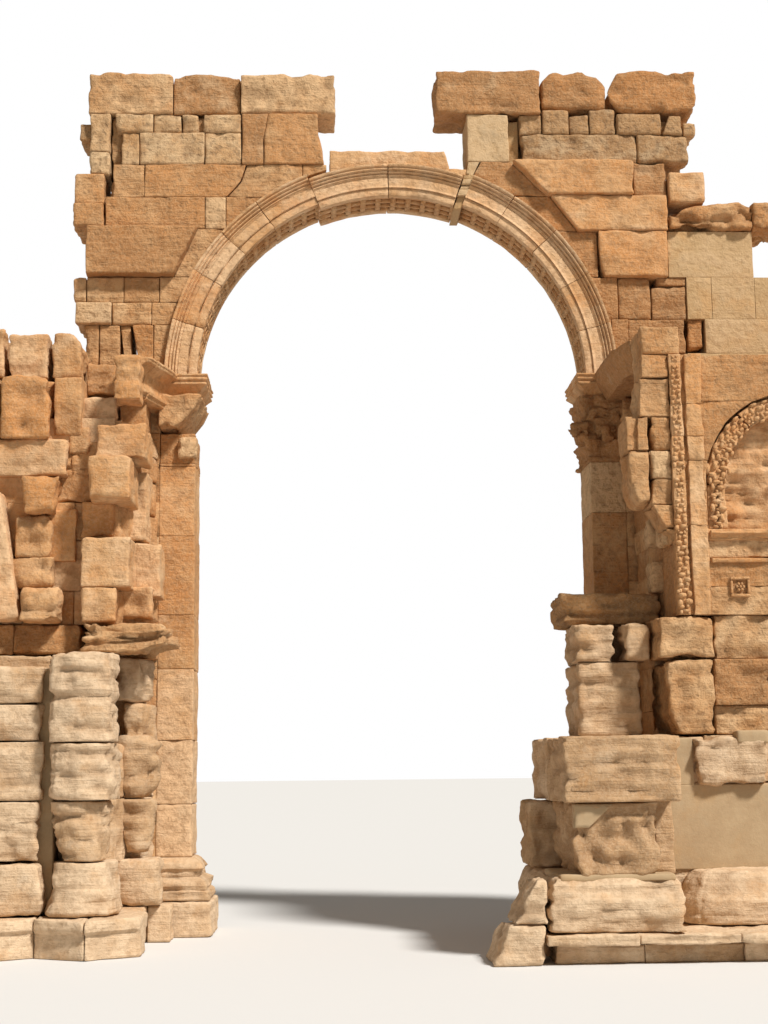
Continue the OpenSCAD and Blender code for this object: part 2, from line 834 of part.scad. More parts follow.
// Front stones left on the corner of the right pier: their inner side, heights and depth
corner_depth = 800;
corner_stones = [
  [-270, pedestal_top, 4310, 1300], [-340, 4310, strip_bottom, 1000], [-220, 6200, 6450, 700],
  [-340, 6450, 6710, corner_depth], [-340, 6710, 8110, corner_depth],
  [-480, 8110, 8740, corner_depth], [-420, 8740, right_top, corner_depth]
];

// The body of the right pier with its niche, the front stones left on its corner, one of them
// grooved and standing further into the passage, and what is left of its impost on top
module pier_right_upper() {
  grooved_z = [6710, 8110];
  top_z = [right_top, springing + 10];
  color(ochre) {
    difference() {
      stone([return_x, outer_x], [right_front, pier_back], [pedestal_top, right_top]);
      niche_room(niche_wall);
    }
    for (s = corner_stones)
      stone([return_x + s[0], return_x], [right_front, right_front + s[3]], [s[1], s[2]]);
    worn_stone([return_x - 420, return_x + 220], [right_front, right_front + corner_depth],
      top_z, 40);
    impost_return_right(top_z);
    difference() {
      worn_stone([return_x - 700, return_x - 340], [right_front, right_front + corner_depth],
        grooved_z, 30);
      translate([return_x - 580, right_front - joint, grooved_z[0] + 860])
        cube([60, 60, grooved_z[1]]);
    }
  }
}

module niche_shell() {
  color(honey)
    difference() {
      niche_room(niche_wall - joint);
      niche_room(0);
      translate([niche_x - niche_w, right_front - niche_w, 0])
        cube([niche_w * 2, niche_w, right_top]);
    }
}

// A carved strip and a plain strip beside it, on each side of the niche
module carved_strips_right() {
  color(honey)
    for (side = [-1, 1])
      for (strip = [[330, 540, 50], [20, 300, 70]]) {
        x = [niche_x + side * (niche_r + strip[0]), niche_x + side * (niche_r + strip[1])];
        stone([min(x), max(x)], [right_front - strip[2], right_front],
          [strip_bottom, right_top]);
      }
}

// The sill of the niche and a row of small framed panels under it
module square_panel_right() {
  panel = 310;
  pitch = 670;
  frame = 45;
  color(honey) {
    moulded([niche_x - niche_r, niche_x + niche_r], [right_front - 20, right_front - half_gap],
      [niche_sill - 160, niche_sill - 20], [[0.2, 0], [0.5, 0.4], [1, 0.6], [1, 1]], 0, 90, 0);
    stone([niche_x - niche_r, niche_x + niche_r], [right_front - 60, right_front],
      [niche_sill - 540, niche_sill - 460]);
    for (i = [-1.5 : 1 : 1.5])
      translate([niche_x + i * pitch, right_front - half_gap, 5410])
        rotate([90, 0, 0])
          difference() {
            translate([0, 0, 20]) cube([panel, panel, 40], center = true);
            translate([0, 0, 36])
              difference() {
                cube([panel - frame * 2, panel - frame * 2, 50], center = true);
                cylinder(r = panel * 0.26, h = 60, center = true);
              }
          }
  }
}

// The dark bedded slab that lies on the blocks beside the right pier
module ledge_right() {
  color(cream)
    worn_stone([pier_side - 1260, return_x], [wall_front - 2200, wall_front - 1000],
      [strip_bottom - 60, strip_bottom + 480], 50);
}

// The blocks left standing on the pedestal beside the right pier
module pedestal_blocks() {
  y = [blocks_front, pedestal_back];
  mid = pedestal_top + 1160;
  top = strip_bottom - 60;
  color(cream) {
    worn_stone([pier_side - 1100, pier_side - 60], y, [pedestal_top, mid], 60);
    worn_stone([pier_side - 1120, pier_side - 440], y, [mid, top], 50);
    worn_stone([pier_side - 360, return_x - 340], [blocks_front - 200, blocks_front + 600],
      [mid, top], 60);
  }
}

module pedestal_cap() {
  color(cream)
    worn_stone([pier_side - pedestal_w, pier_side], [pedestal_front, pedestal_back],
      [cap_bottom, pedestal_top], 45);
}

// The die, a wider block behind it and a block set back at its side
module pedestal_die() {
  z = [die_bottom, cap_bottom];
  left = pier_side - 270 - die_w;
  color(cream) {
    worn_stone([left, pier_side - 270], [pedestal_front + 120, blocks_front], z, 70);
    stone([pier_side - 270, pier_side], [pedestal_front + 600, blocks_front], z);
    stone([pier_side - 1270, pier_side], [blocks_front, pedestal_back], z);
    worn_stone([pier_side - 1920, pier_side - 1270], [blocks_front, pedestal_back], z, 80);
  }
}

// The swelling base of the pedestal, with two leaning stones against its left side
module pedestal_base() {
  x = [pier_side - 1950, pier_side];
  stones = [
    [[-2770, -2000], [-2520, -2000], 0, 550], [[-2480, -1950], [-2130, -1950], 550, die_bottom]
  ];
  color(cream) {
    moulded(x, [pedestal_front, pedestal_back], [right_plinth_h, die_bottom],
      [[0, 0], [0, 0.62], [-0.6, 0.86], [-1, 1]], 140, 140, 0);
    for (s = stones)
      leaning_stone([for (v = s[0]) pier_side + v], [for (v = s[1]) pier_side + v],
        [right_plinth_front + 60, right_plinth_front + 1300], [s[2], s[3]]);
  }
}

arch_ring_left();
arch_ring_right();
slipped_crown_stones();
joint_packing();
crown_slab();
spandrel_left();
spandrel_right();
upper_courses_left();
upper_courses_right();
top_stones_left();
top_stones_right();
corner_block_left();
corner_post_right();
projecting_stones_left();
projecting_stones_right();
broken_cornice_right();
restored_ashlar_right();
impost_left();
impost_right();
impost_return_left();
capital_left();
capital_right();
jamb_left();
jamb_right();
jamb_base_left();
jamb_base_right();
rear_wall_left();
rear_wall_right();
pier_left_lower();
pier_left_upper();
ledge_left();
half_column();
column_base();
plinth_left();
plinth_right();
pier_right_lower();
pier_right_upper();
niche_shell();
carved_strips_right();
square_panel_right();
ledge_right();
pedestal_base();
pedestal_die();
pedestal_cap();
pedestal_blocks();
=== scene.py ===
"""Looks of a ruined triumphal arch in limestone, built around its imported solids.

Every stone is a closed shell on a lattice, worn by one Geometry Nodes tree. Mouldings follow
profiles, carved ornament is repeated by Geometry Nodes, and all sizes are in metres.
"""

import json
import logging
import math
from dataclasses import dataclass, field
from enum import Enum
from functools import partial
from typing import Sequence

import bpy
import numpy as np
from mathutils import Matrix, Vector

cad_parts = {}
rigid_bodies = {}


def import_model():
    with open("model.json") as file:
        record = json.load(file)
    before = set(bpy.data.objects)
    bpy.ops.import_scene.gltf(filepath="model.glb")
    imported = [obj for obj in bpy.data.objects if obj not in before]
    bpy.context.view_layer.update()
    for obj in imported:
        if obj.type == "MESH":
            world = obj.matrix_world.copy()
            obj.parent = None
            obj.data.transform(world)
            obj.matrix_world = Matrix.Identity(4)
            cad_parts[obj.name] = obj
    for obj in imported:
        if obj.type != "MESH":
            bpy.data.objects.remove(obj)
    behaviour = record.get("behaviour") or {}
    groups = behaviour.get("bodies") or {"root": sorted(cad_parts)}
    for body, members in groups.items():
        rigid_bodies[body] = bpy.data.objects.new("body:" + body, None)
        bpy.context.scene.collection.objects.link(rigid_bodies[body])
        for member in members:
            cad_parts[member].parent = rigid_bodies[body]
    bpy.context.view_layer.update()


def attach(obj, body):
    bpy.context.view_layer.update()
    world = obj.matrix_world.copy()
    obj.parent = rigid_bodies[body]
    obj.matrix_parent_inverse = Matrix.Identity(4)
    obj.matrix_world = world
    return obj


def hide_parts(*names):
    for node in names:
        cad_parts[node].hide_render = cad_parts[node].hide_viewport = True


logging.basicConfig(level=logging.INFO, format="%(message)s")
log = logging.getLogger("arch")

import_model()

Colour = tuple[float, float, float]
Point = tuple[float, float]
Edge = float | Sequence[Point]

# Planes and levels that the whole monument shares
WALL_FRONT = 1.865
WALL_BACK = 2.835
PIER_BACK = 1.805
BACK = 3.134
SPRINGING = 9.56
RING_IN = 3.46
RING_OUT = 4.02
SIDE_X = 4.08
PIER_SIDE = 3.8
RETURN_X = 4.2
OUTER_X = 8.58
PLINTH_X = 8.698
RIGHT_Y = -1.335
LEFT_Y = -0.165
LEFT_UPPER = 0.265
SPLAY = math.tan(math.radians(16.2))
JOINT = 0.004
RING_BED = RING_OUT + 0.006


# Node graphs


class Signal:
    """A node socket that takes part in Python arithmetic."""

    def __init__(self, graph: "Graph", socket: bpy.types.NodeSocket) -> None:
        """Wraps one socket of a graph."""
        self.graph = graph
        self.socket = socket

    def __add__(self, other: "Signal | float") -> "Signal":
        """Sum."""
        return self.graph.maths("ADD", self, other)

    def __radd__(self, other: float) -> "Signal":
        """Reflected sum."""
        return self.graph.maths("ADD", other, self)

    def __sub__(self, other: "Signal | float") -> "Signal":
        """Difference."""
        return self.graph.maths("SUBTRACT", self, other)

    def __rsub__(self, other: float) -> "Signal":
        """Reflected difference."""
        return self.graph.maths("SUBTRACT", other, self)

    def __mul__(self, other: "Signal | float") -> "Signal":
        """Product."""
        return self.graph.maths("MULTIPLY", self, other)

    def __rmul__(self, other: float) -> "Signal":
        """Reflected product."""
        return self.graph.maths("MULTIPLY", other, self)

    def __truediv__(self, other: "Signal | float") -> "Signal":
        """Quotient."""
        return self.graph.maths("DIVIDE", self, other)

    def __rtruediv__(self, other: float) -> "Signal":
        """Reflected quotient."""
        return self.graph.maths("DIVIDE", other, self)

    def above(self, low: float, high: float) -> "Signal":
        """A smooth step from 0 at low to 1 at high.

        Args:
            low: Where it starts; it may lie over high, for a falling step.
            high: Where it ends.

        Returns:
            The step as a signal.
        """
        return self.graph.node(
            "ShaderNodeMapRange", {"interpolation_type": "SMOOTHSTEP", "clamp": True},
            {"Value": self, "From Min": low, "From Max": high, "To Min": 0.0, "To Max": 1.0},
        ).out()


def socket_of(
    sockets: bpy.types.bpy_prop_collection, name: str | int
) -> bpy.types.NodeSocket:
    """One of a node's sockets, by place or by name among those that its settings leave in use.

    Args:
        sockets: The node's inputs or outputs.
        name: The socket's place, or its name.

    Returns:
        The socket.
    """
    if isinstance(name, int):
        return sockets[name]
    return next(s for s in sockets if s.name == name and s.enabled)


class Placed:
    """A node that has been added to a graph."""

    def __init__(self, graph: "Graph", node: bpy.types.Node) -> None:
        """Wraps one node of a graph."""
        self.graph = graph
        self.node = node

    def out(self, name: str | int = 0) -> Signal:
        """One of the node's outputs in use, by name or place."""
        return Signal(self.graph, socket_of(self.node.outputs, name))


class Graph:
    """Adds nodes to a shader tree or a geometry tree."""

    def __init__(self, tree: bpy.types.NodeTree) -> None:
        """Starts on an empty or fresh tree."""
        self.tree = tree

    def node(
        self, kind: str, settings: dict | None = None, inputs: dict | Sequence | None = None
    ) -> Placed:
        """Adds a node of any type.

        Args:
            kind: The node's type.
            settings: Attributes of the node, set first.
            inputs: Socket values or links, by name or place, or in order.

        Returns:
            The placed node.
        """
        node = self.tree.nodes.new(kind)
        for key, value in (settings or {}).items():
            setattr(node, key, value)
        pairs = inputs.items() if isinstance(inputs, dict) else enumerate(inputs or ())
        for key, value in pairs:
            socket = socket_of(node.inputs, key)
            if isinstance(value, Signal):
                self.tree.links.new(value.socket, socket)
            else:
                socket.default_value = value
        return Placed(self, node)

    def maths(self, operation: str, *terms: Signal | float) -> Signal:
        """A Math node's result."""
        return self.node("ShaderNodeMath", {"operation": operation}, terms).out()

    def vector(self, operation: str, *terms: Signal | Sequence[float]) -> Signal:
        """A Vector Math node's vector result."""
        return self.node("ShaderNodeVectorMath", {"operation": operation}, terms).out()

    def joined(self, *parts: Signal | float) -> Signal:
        """A vector from its three parts."""
        return self.node("ShaderNodeCombineXYZ", None, parts).out()

    def mix(self, share: Signal | float, low: Signal | Colour, high: Signal | Colour) -> Signal:
        """Blends two colours.

        Args:
            share: From 0, all low, to 1, all high.
            low: A colour or a colour signal.
            high: A colour or a colour signal.

        Returns:
            The blended colour.
        """
        low, high = (c if isinstance(c, Signal) else (*c, 1.0) for c in (low, high))
        settings = {"data_type": "RGBA", "clamp_factor": True}
        return self.node("ShaderNodeMix", settings, {0: share, 6: low, 7: high}).out(2)

    def noise(
        self, place: Signal, scale: float | Signal, detail: float = 4.0, rough: float = 0.55
    ) -> Signal:
        """Fractal noise from 0 to 1.

        Args:
            place: Where it is read.
            scale: Cycles a metre.
            detail: Number of octaves.
            rough: How much each finer octave counts.

        Returns:
            The value.
        """
        return self.node(
            "ShaderNodeTexNoise", {"noise_dimensions": "3D"},
            {"Vector": place, "Scale": scale, "Detail": detail, "Roughness": rough},
        ).out()


# Finishes


def tinted(colour: Colour, *shares: float) -> Colour:
    """A colour with its red, green and blue scaled."""
    return tuple(part * share for part, share in zip(colour, shares))


@dataclass(frozen=True)
class Limestone:
    """A weathered limestone: its colours from pale to deep and how rough it has become."""

    name: str
    pale: Colour
    body: Colour
    deep: Colour
    dirt_and_shade: Colour
    bedding: float
    pitting: float
    relief: float
    slot: str = ""
    roughness: float = 0.9

    def build(self) -> bpy.types.Material:
        """Makes the material.

        Returns:
            A node material that reads object coordinates and the stones' own attributes.
        """
        material = bpy.data.materials.new(self.name)
        material.use_nodes = True
        g = Graph(material.node_tree)
        bsdf = material.node_tree.nodes["Principled BSDF"]
        place = g.node("ShaderNodeTexCoord").out("Object")
        tone, warmth, hollow = (
            g.node("ShaderNodeAttribute", {"attribute_name": key}).out("Fac")
            for key in ("tone", "warmth", "hollow")
        )
        broad = g.noise(place, 0.8, 5.0)
        patch = g.noise(place, 3.1, 6.0, 0.6)
        knobs = g.noise(place, 6.5, 5.0, 0.65)
        grain = g.noise(place, 24.0, 4.0, 0.7)
        bed = g.noise(g.vector("MULTIPLY", place, (0.8, 0.8, 9.0)), 1.7, 5.0, 0.6)
        pits = g.noise(place, 12.0, 4.0, 0.6)
        shade = broad * 0.55 + patch * 0.45 + tone * 0.3
        colour = g.mix(shade.above(0.34, 0.58), self.deep, self.body)
        colour = g.mix((shade + bed * 0.25).above(0.6, 0.86), colour, self.pale)
        rust = (g.noise(place, 1.9, 5.0, 0.6) + warmth * 0.22).above(0.5, 0.72) * 0.55
        colour = g.mix(rust, colour, tinted(self.deep, 1.2, 1.05, 0.84))
        grey = (g.noise(place, 2.3, 4.0, 0.6) - warmth * 0.25).above(0.58, 0.8) * 0.55
        colour = g.mix(grey, colour, tinted(self.pale, 0.84, 0.9, 0.98))
        colour = g.mix(pits.above(0.48, 0.68) * (0.22 + 0.36 * self.pitting), colour, self.dirt_and_shade)
        streaks = (bed * 0.7 + grain * 0.3).above(0.54, 0.68) * (0.34 * self.bedding)
        colour = g.mix(streaks, colour, self.dirt_and_shade)
        # Painted shade with dirt: darker where the weathering sank the surface deeper.
        colour = g.mix(hollow.above(0.25, 1.0) * 0.35, colour, self.dirt_and_shade)
        colour = g.mix(knobs.above(0.52, 0.34) * 0.34, colour, self.dirt_and_shade)
        colour = g.mix(grain.above(0.44, 0.6) * 0.25, colour, self.pale)
        g.tree.links.new(colour.socket, bsdf.inputs["Base Color"])
        bsdf.inputs["Roughness"].default_value = self.roughness
        bsdf.inputs["Specular IOR Level"].default_value = 0.2
        height = (
            patch * 0.7
            + knobs * (0.5 + 0.5 * self.pitting)
            + bed * (1.3 * self.bedding)
            + grain * 0.45
            - pits.above(0.5, 0.74) * (0.35 * self.pitting)
        )
        bump = g.node(
            "ShaderNodeBump", None,
            {"Strength": 1.0, "Distance": self.relief * 2.0, "Height": height},
        )
        g.tree.links.new(bump.out().socket, bsdf.inputs["Normal"])
        return material


class Finish(Enum):
    """The limestones of the monument."""

    HONEY = Limestone(
        "honey_limestone", (0.7, 0.46, 0.26), (0.61, 0.345, 0.155), (0.48, 0.235, 0.09),
        (0.27, 0.135, 0.055), bedding=0.3, pitting=0.6, relief=0.021,
    )
    OCHRE = Limestone(
        "ochre_limestone", (0.66, 0.43, 0.23), (0.55, 0.305, 0.135), (0.42, 0.205, 0.08),
        (0.22, 0.11, 0.045), bedding=0.4, pitting=0.8, relief=0.027,
    )
    CREAM = Limestone(
        "cream_limestone", (0.67, 0.49, 0.315), (0.565, 0.37, 0.205), (0.43, 0.26, 0.13),
        (0.29, 0.165, 0.08), bedding=0.6, pitting=0.5, relief=0.018,
    )
    BROWN = Limestone(
        "brown_limestone", (0.66, 0.46, 0.26), (0.55, 0.335, 0.165), (0.4, 0.225, 0.1),
        (0.16, 0.085, 0.04), bedding=0.3, pitting=1.0, relief=0.024,
    )
    FRESH = Limestone(
        "fresh_limestone", (0.57, 0.39, 0.215), (0.51, 0.34, 0.17), (0.44, 0.275, 0.13),
        (0.4, 0.245, 0.11), bedding=0.15, pitting=0.7, relief=0.016,
    )
    CEMENT = Limestone(
        "cement_repair", (0.47, 0.345, 0.205), (0.43, 0.305, 0.175), (0.38, 0.265, 0.15),
        (0.38, 0.255, 0.14), bedding=0.1, pitting=0.15, relief=0.005, slot="cream_limestone",
    )


HONEY, OCHRE, CREAM, BROWN, FRESH, CEMENT = Finish


class Quarry:
    """Keeps one material for each finish."""

    def __init__(self) -> None:
        """Starts with no material made."""
        self.made: dict[Finish, bpy.types.Material] = {}

    def get(self, finish: Finish) -> bpy.types.Material:
        """The material of a finish, made at its first use.

        Args:
            finish: The finish.

        Returns:
            Its material.
        """
        if finish not in self.made:
            self.made[finish] = finish.value.build()
        return self.made[finish]


quarry = Quarry()


# Stones on a lattice


def spans(marks: Sequence[float]) -> list[Point]:
    """The stretches between marks that follow each other."""
    return list(zip(marks[:-1], marks[1:]))


def hashed(cells: np.ndarray) -> np.ndarray:
    """A fixed random value from 0 to 1 for each whole-numbered cell.

    Args:
        cells: Whole numbers, one row of three for each cell.

    Returns:
        One value a row.
    """
    n = cells[..., 0] * 374761393 + cells[..., 1] * 668265263 + cells[..., 2] * 2147483647
    n = (n ^ (n >> 13)) * 1274126177
    n = n ^ (n >> 16)
    return (n & 0xFFFFFF) / float(0xFFFFFF)


def value_noise(points: np.ndarray) -> np.ndarray:
    """Smooth noise from 0 to 1 at some points, one cell to a unit.

    Args:
        points: An array whose last axis is x, y, z.

    Returns:
        One value for each point.
    """
    base = np.floor(points).astype(np.int64)
    f = points - base
    f = f * f * (3 - 2 * f)
    total = np.zeros(points.shape[:-1])
    for corner in np.ndindex(2, 2, 2):
        near = np.where(np.array(corner) == 1, f, 1 - f)
        total += near[..., 0] * near[..., 1] * near[..., 2] * hashed(base + np.array(corner))
    return total


def edge_at(edge: Edge, z: np.ndarray) -> np.ndarray:
    """The place of a side at some heights.

    Args:
        edge: One number, or points (place, height) from below to above.
        z: Heights.

    Returns:
        The places.
    """
    if isinstance(edge, (int, float)):
        return np.full_like(z, float(edge))
    places, heights = zip(*edge)
    return np.interp(z, heights, places)


def edge_range(edge: Edge) -> Point:
    """The lowest and highest place on a side.

    Args:
        edge: One number, or points (place, height).

    Returns:
        Both places.
    """
    if isinstance(edge, (int, float)):
        return float(edge), float(edge)
    return min(p[0] for p in edge), max(p[0] for p in edge)


@dataclass
class Stone:
    """One stone: a box whose sides may lean, splay, follow a profile or round off.

    It is given from left to right, from below to above and from front to back. Tone runs from dark
    to pale, warmth from grey to rust, bed is how much its layers show, edge the radius of its
    arrises and cell its lattice. A profile tells how much of its reach each side stands out.
    """

    left: Edge
    right: Edge
    z0: float
    z1: float
    front: float = WALL_FRONT
    back: float = WALL_BACK
    tone: float = 0.0
    warmth: float = 0.0
    wear: float = 1.0
    bed: float = 0.3
    edge: float = 0.028
    cell: float = 0.06
    splay_left: float = 0.0
    splay_right: float = 0.0
    profile: Sequence[Point] = ()
    reach: tuple[float, ...] = (0.0,) * 4
    plump: float = 0.0
    top: Sequence[Point] = ()
    clear: tuple[float, float, float] | None = None
    turned: Point | None = None
    seen: tuple[bool, ...] = (True,) * 6
    buried: tuple[bool, ...] = (False,) * 6

    def box(self) -> tuple[float, ...]:
        """Its box as x0, x1, y0, y1, z0, z1, without splay or profile."""
        low, high = edge_range(self.left)[0], edge_range(self.right)[1]
        return low, high, self.front, self.back, self.z0, self.z1

    def _steps(self, length: float, seen_low: bool, seen_high: bool, fine: bool) -> np.ndarray:
        """Places of the lattice lines along one side.

        Args:
            length: The side's length.
            seen_low: Whether the low end is a visible face.
            seen_high: Whether the high end is a visible face.
            fine: Whether the whole length needs fine cells.

        Returns:
            Shares from 0 to 1.
        """
        rim = min(self.edge, length * 0.2)
        inner = rim * 0.35
        marks = {0.0, inner, rim, length - rim, length - inner, length}
        if fine:
            count = max(2, round((length - 2 * rim) / (self.cell * 1.12)))
            marks.update(np.linspace(rim, length - rim, count + 1).tolist())
        else:
            step = self.cell * 1.1
            at = rim + step
            while at < length * 0.45:
                if seen_low:
                    marks.add(at)
                if seen_high:
                    marks.add(length - at)
                step *= 1.7
                at += step
            marks.add(length * 0.5)
        lines = np.array(sorted(marks)) / length
        return lines[np.concatenate([[True], np.diff(lines) > 1e-4])]

    def shell(self, seed: int) -> tuple[np.ndarray, list[list[int]], dict[str, np.ndarray]]:
        """Builds the stone's closed surface.

        Args:
            seed: The stone's own number.

        Returns:
            Vertices, faces, and one value a vertex for each attribute.
        """
        box = np.array(self.box())
        size = box[1::2] - box[::2]
        seen = self.seen
        gx = self._steps(size[0], seen[0], seen[1], any(seen[2:]))
        gy = self._steps(size[1], seen[2], seen[3], any(seen[:2] + seen[4:]))
        gz = self._steps(size[2], seen[4], seen[5], any(seen[:4]))
        if self.profile:
            extra = [p[1] + d for p in self.profile for d in (-0.004, 0.004) if 0 < p[1] + d < 1]
            gz = np.unique(np.round(np.concatenate([gz, extra]), 5))
        grid = np.stack(np.meshgrid(gx, gy, gz, indexing="ij"), -1)
        sides = np.stack([grid[..., axis] == end for axis in range(3) for end in (0, 1)], -1)
        kept = (sides & ~np.array(self.buried)).any(-1) | (sides.sum(-1) > 1)
        index = np.full(kept.shape, -1)
        index[kept] = np.arange(kept.sum())
        metric = self._rounded(grid[kept] * size, size, seed)
        shown = self._shown(metric, size)
        way = shown[:, 1::2] - shown[:, ::2]
        values = {
            "way": way / np.maximum(np.linalg.norm(way, axis=1, keepdims=True), 1e-6),
            "wear": self.wear * shown.max(axis=1),
            "bed": self.bed,
            "tone": self.tone,
            "warmth": self.warmth,
            "stone": float(seed % 997) * 1.37,
        }
        return self._placed(metric / size), self._faces(index), values

    def _shown(self, metric: np.ndarray, size: np.ndarray) -> np.ndarray:
        """How near each point is to each open face, from 0 deep inside to 1, six to a row."""
        away = np.stack([metric, size - metric], -1).reshape(len(metric), 6)
        return np.exp(-((away / 0.13) ** 2)) * np.array(self.seen)

    def _rounded(self, metric: np.ndarray, size: np.ndarray, seed: int) -> np.ndarray:
        """Wears the edges off a box: a fine ragged arris with larger chips here and there.

        Args:
            metric: Places in the box in metres.
            size: The box's size.
            seed: The stone's own number.

        Returns:
            The places, with those near an edge drawn in, less so on the sides of a joint.
        """
        ragged = value_noise(metric * 6.0 + seed * 17.3) * 0.6
        ragged += value_noise(metric * 15.0 + seed * 5.9) * 0.4
        chip = np.clip((value_noise(metric * 3.6 + seed * 31.7) - 0.6) * 5.0, 0, 1)
        radius = self.edge * (0.2 + 0.85 * ragged) + chip * 0.045 * min(self.wear, 1.8)
        radius *= np.clip(self._shown(metric, size).max(axis=1) * 1.3, 0, 1)
        radius = np.minimum(radius + 0.002, size.min() * 0.42)
        share = np.where(np.array(self.seen), 1.0, 0.4).reshape(3, 2)
        radii = radius[:, None] * np.where(metric > size / 2, share[:, 1], share[:, 0])
        inner = np.clip(metric, radii, size - radii)
        out = (metric - inner) / radii
        length = np.maximum(np.linalg.norm(out, axis=1, keepdims=True), 1.0)
        return inner + out / length * radii

    def _placed(self, share: np.ndarray) -> np.ndarray:
        """Maps shares of the box to places, with lean, splay, profile and roundness.

        Args:
            share: One row of three from 0 to 1 for each point.

        Returns:
            The places, kept out of the circle that the stone has to clear.
        """
        plan = share[:, :2] * 2 - 1
        if self.plump > 0:
            square = np.max(np.abs(plan), axis=1)
            around = np.maximum(np.linalg.norm(plan, axis=1), 1e-9)
            plan = plan * (1 + self.plump * (square / around - 1))[:, None]
        su, sv = (plan[:, 0] + 1) / 2, (plan[:, 1] + 1) / 2
        z = self.z0 + share[:, 2] * (self.z1 - self.z0)
        outs = np.zeros(len(z))
        if self.profile:
            out, up = zip(*self.profile)
            outs = np.interp(share[:, 2], up, out)
        plane = self.front
        if self.turned:
            plane = self.turned[0] + su * (self.turned[1] - self.turned[0])
        front = plane - outs * self.reach[2]
        back = self.back + outs * self.reach[3]
        y = front + sv * (back - front)
        depth = self.back - y
        left = edge_at(self.left, z) - outs * self.reach[0] - self.splay_left * depth
        right = edge_at(self.right, z) + outs * self.reach[1] - self.splay_right * depth
        x = left + su * (right - left)
        if self.top:
            places, heights = zip(*self.top)
            z = self.z0 + share[:, 2] * (np.interp(x, places, heights) - self.z0)
        if self.clear:
            middle, level, radius = self.clear
            dx, dz = x - middle, z - level
            r = np.maximum(np.hypot(dx, np.maximum(dz, 0.0)), 1e-6)
            keep = np.maximum(r, radius) / r
            x = middle + dx * keep
            z = np.where(dz > 0, level + dz * keep, z)
        return np.stack([x, y, z], -1)

    def _faces(self, index: np.ndarray) -> list[list[int]]:
        """Faces on the six sides of a lattice, all facing outwards.

        Args:
            index: The number of each lattice point's vertex.

        Returns:
            Four-sided faces on the open sides and one many-sided face on each buried side.
        """
        found = []
        for axis in range(3):
            for end in (0, 1):
                plane = np.take(index, -end, axis=axis)
                turned = (axis != 1) == bool(end)
                if self.buried[axis * 2 + end]:
                    rim = [*plane[:-1, 0], *plane[-1, :-1], *plane[:0:-1, -1], *plane[0, :0:-1]]
                    found.append([int(v) for v in (rim if turned else rim[::-1])])
                    continue
                a, b = plane[:-1, :-1], plane[1:, :-1]
                c, d = plane[1:, 1:], plane[:-1, 1:]
                order = (a, b, c, d) if turned else (a, d, c, b)
                found += np.stack([o.ravel() for o in order], -1).tolist()
        return found


by_ring = partial(Stone, clear=(0.0, SPRINGING, RING_BED))


class MeshStore:
    """Collects shells and turns them into one mesh with its attributes."""

    names = ("wear", "bed", "tone", "warmth", "stone", "way")

    def __init__(self) -> None:
        """Starts empty."""
        self.verts: list[np.ndarray] = []
        self.faces: list[list[int]] = []
        self.values: dict[str, list[np.ndarray]] = {name: [] for name in self.names}
        self.count = 0

    def add(
        self, verts: np.ndarray, faces: Sequence[Sequence[int]],
        values: dict[str, np.ndarray | float] | None = None,
    ) -> None:
        """Adds one closed shell.

        Args:
            verts: Places of its vertices.
            faces: The vertex numbers of each face.
            values: One value or one array for each attribute; those left out are 0.
        """
        self.verts.append(verts)
        self.faces += [[v + self.count for v in face] for face in faces]
        for name in self.names:
            shape = (len(verts), 3) if name == "way" else (len(verts),)
            self.values[name].append(np.broadcast_to((values or {}).get(name, 0.0), shape))
        self.count += len(verts)

    def build(self, name: str) -> bpy.types.Object:
        """Makes the object.

        Args:
            name: The object's name.

        Returns:
            An object with all shells in one mesh.
        """
        mesh = bpy.data.meshes.new(name)
        verts = np.concatenate(self.verts)
        sides = np.array([len(face) for face in self.faces])
        flat = [v for face in self.faces for v in face]
        mesh.vertices.add(len(verts))
        mesh.vertices.foreach_set("co", verts.astype(np.float32).ravel())
        mesh.loops.add(len(flat))
        mesh.loops.foreach_set("vertex_index", flat)
        mesh.polygons.add(len(sides))
        mesh.polygons.foreach_set("loop_start", np.cumsum(sides) - sides)
        mesh.update(calc_edges=True)
        mesh.validate()
        mesh.polygons.foreach_set("use_smooth", [True] * len(mesh.polygons))
        for key, parts in self.values.items():
            numbers = np.concatenate(parts).astype(np.float32)
            kind, part = ("FLOAT_VECTOR", "vector") if numbers.ndim == 2 else ("FLOAT", "value")
            layer = mesh.attributes.new(key, kind, "POINT")
            layer.data.foreach_set(part, numbers.ravel())
        obj = bpy.data.objects.new(name, mesh)
        bpy.context.scene.collection.objects.link(obj)
        return obj


# Geometry Nodes trees


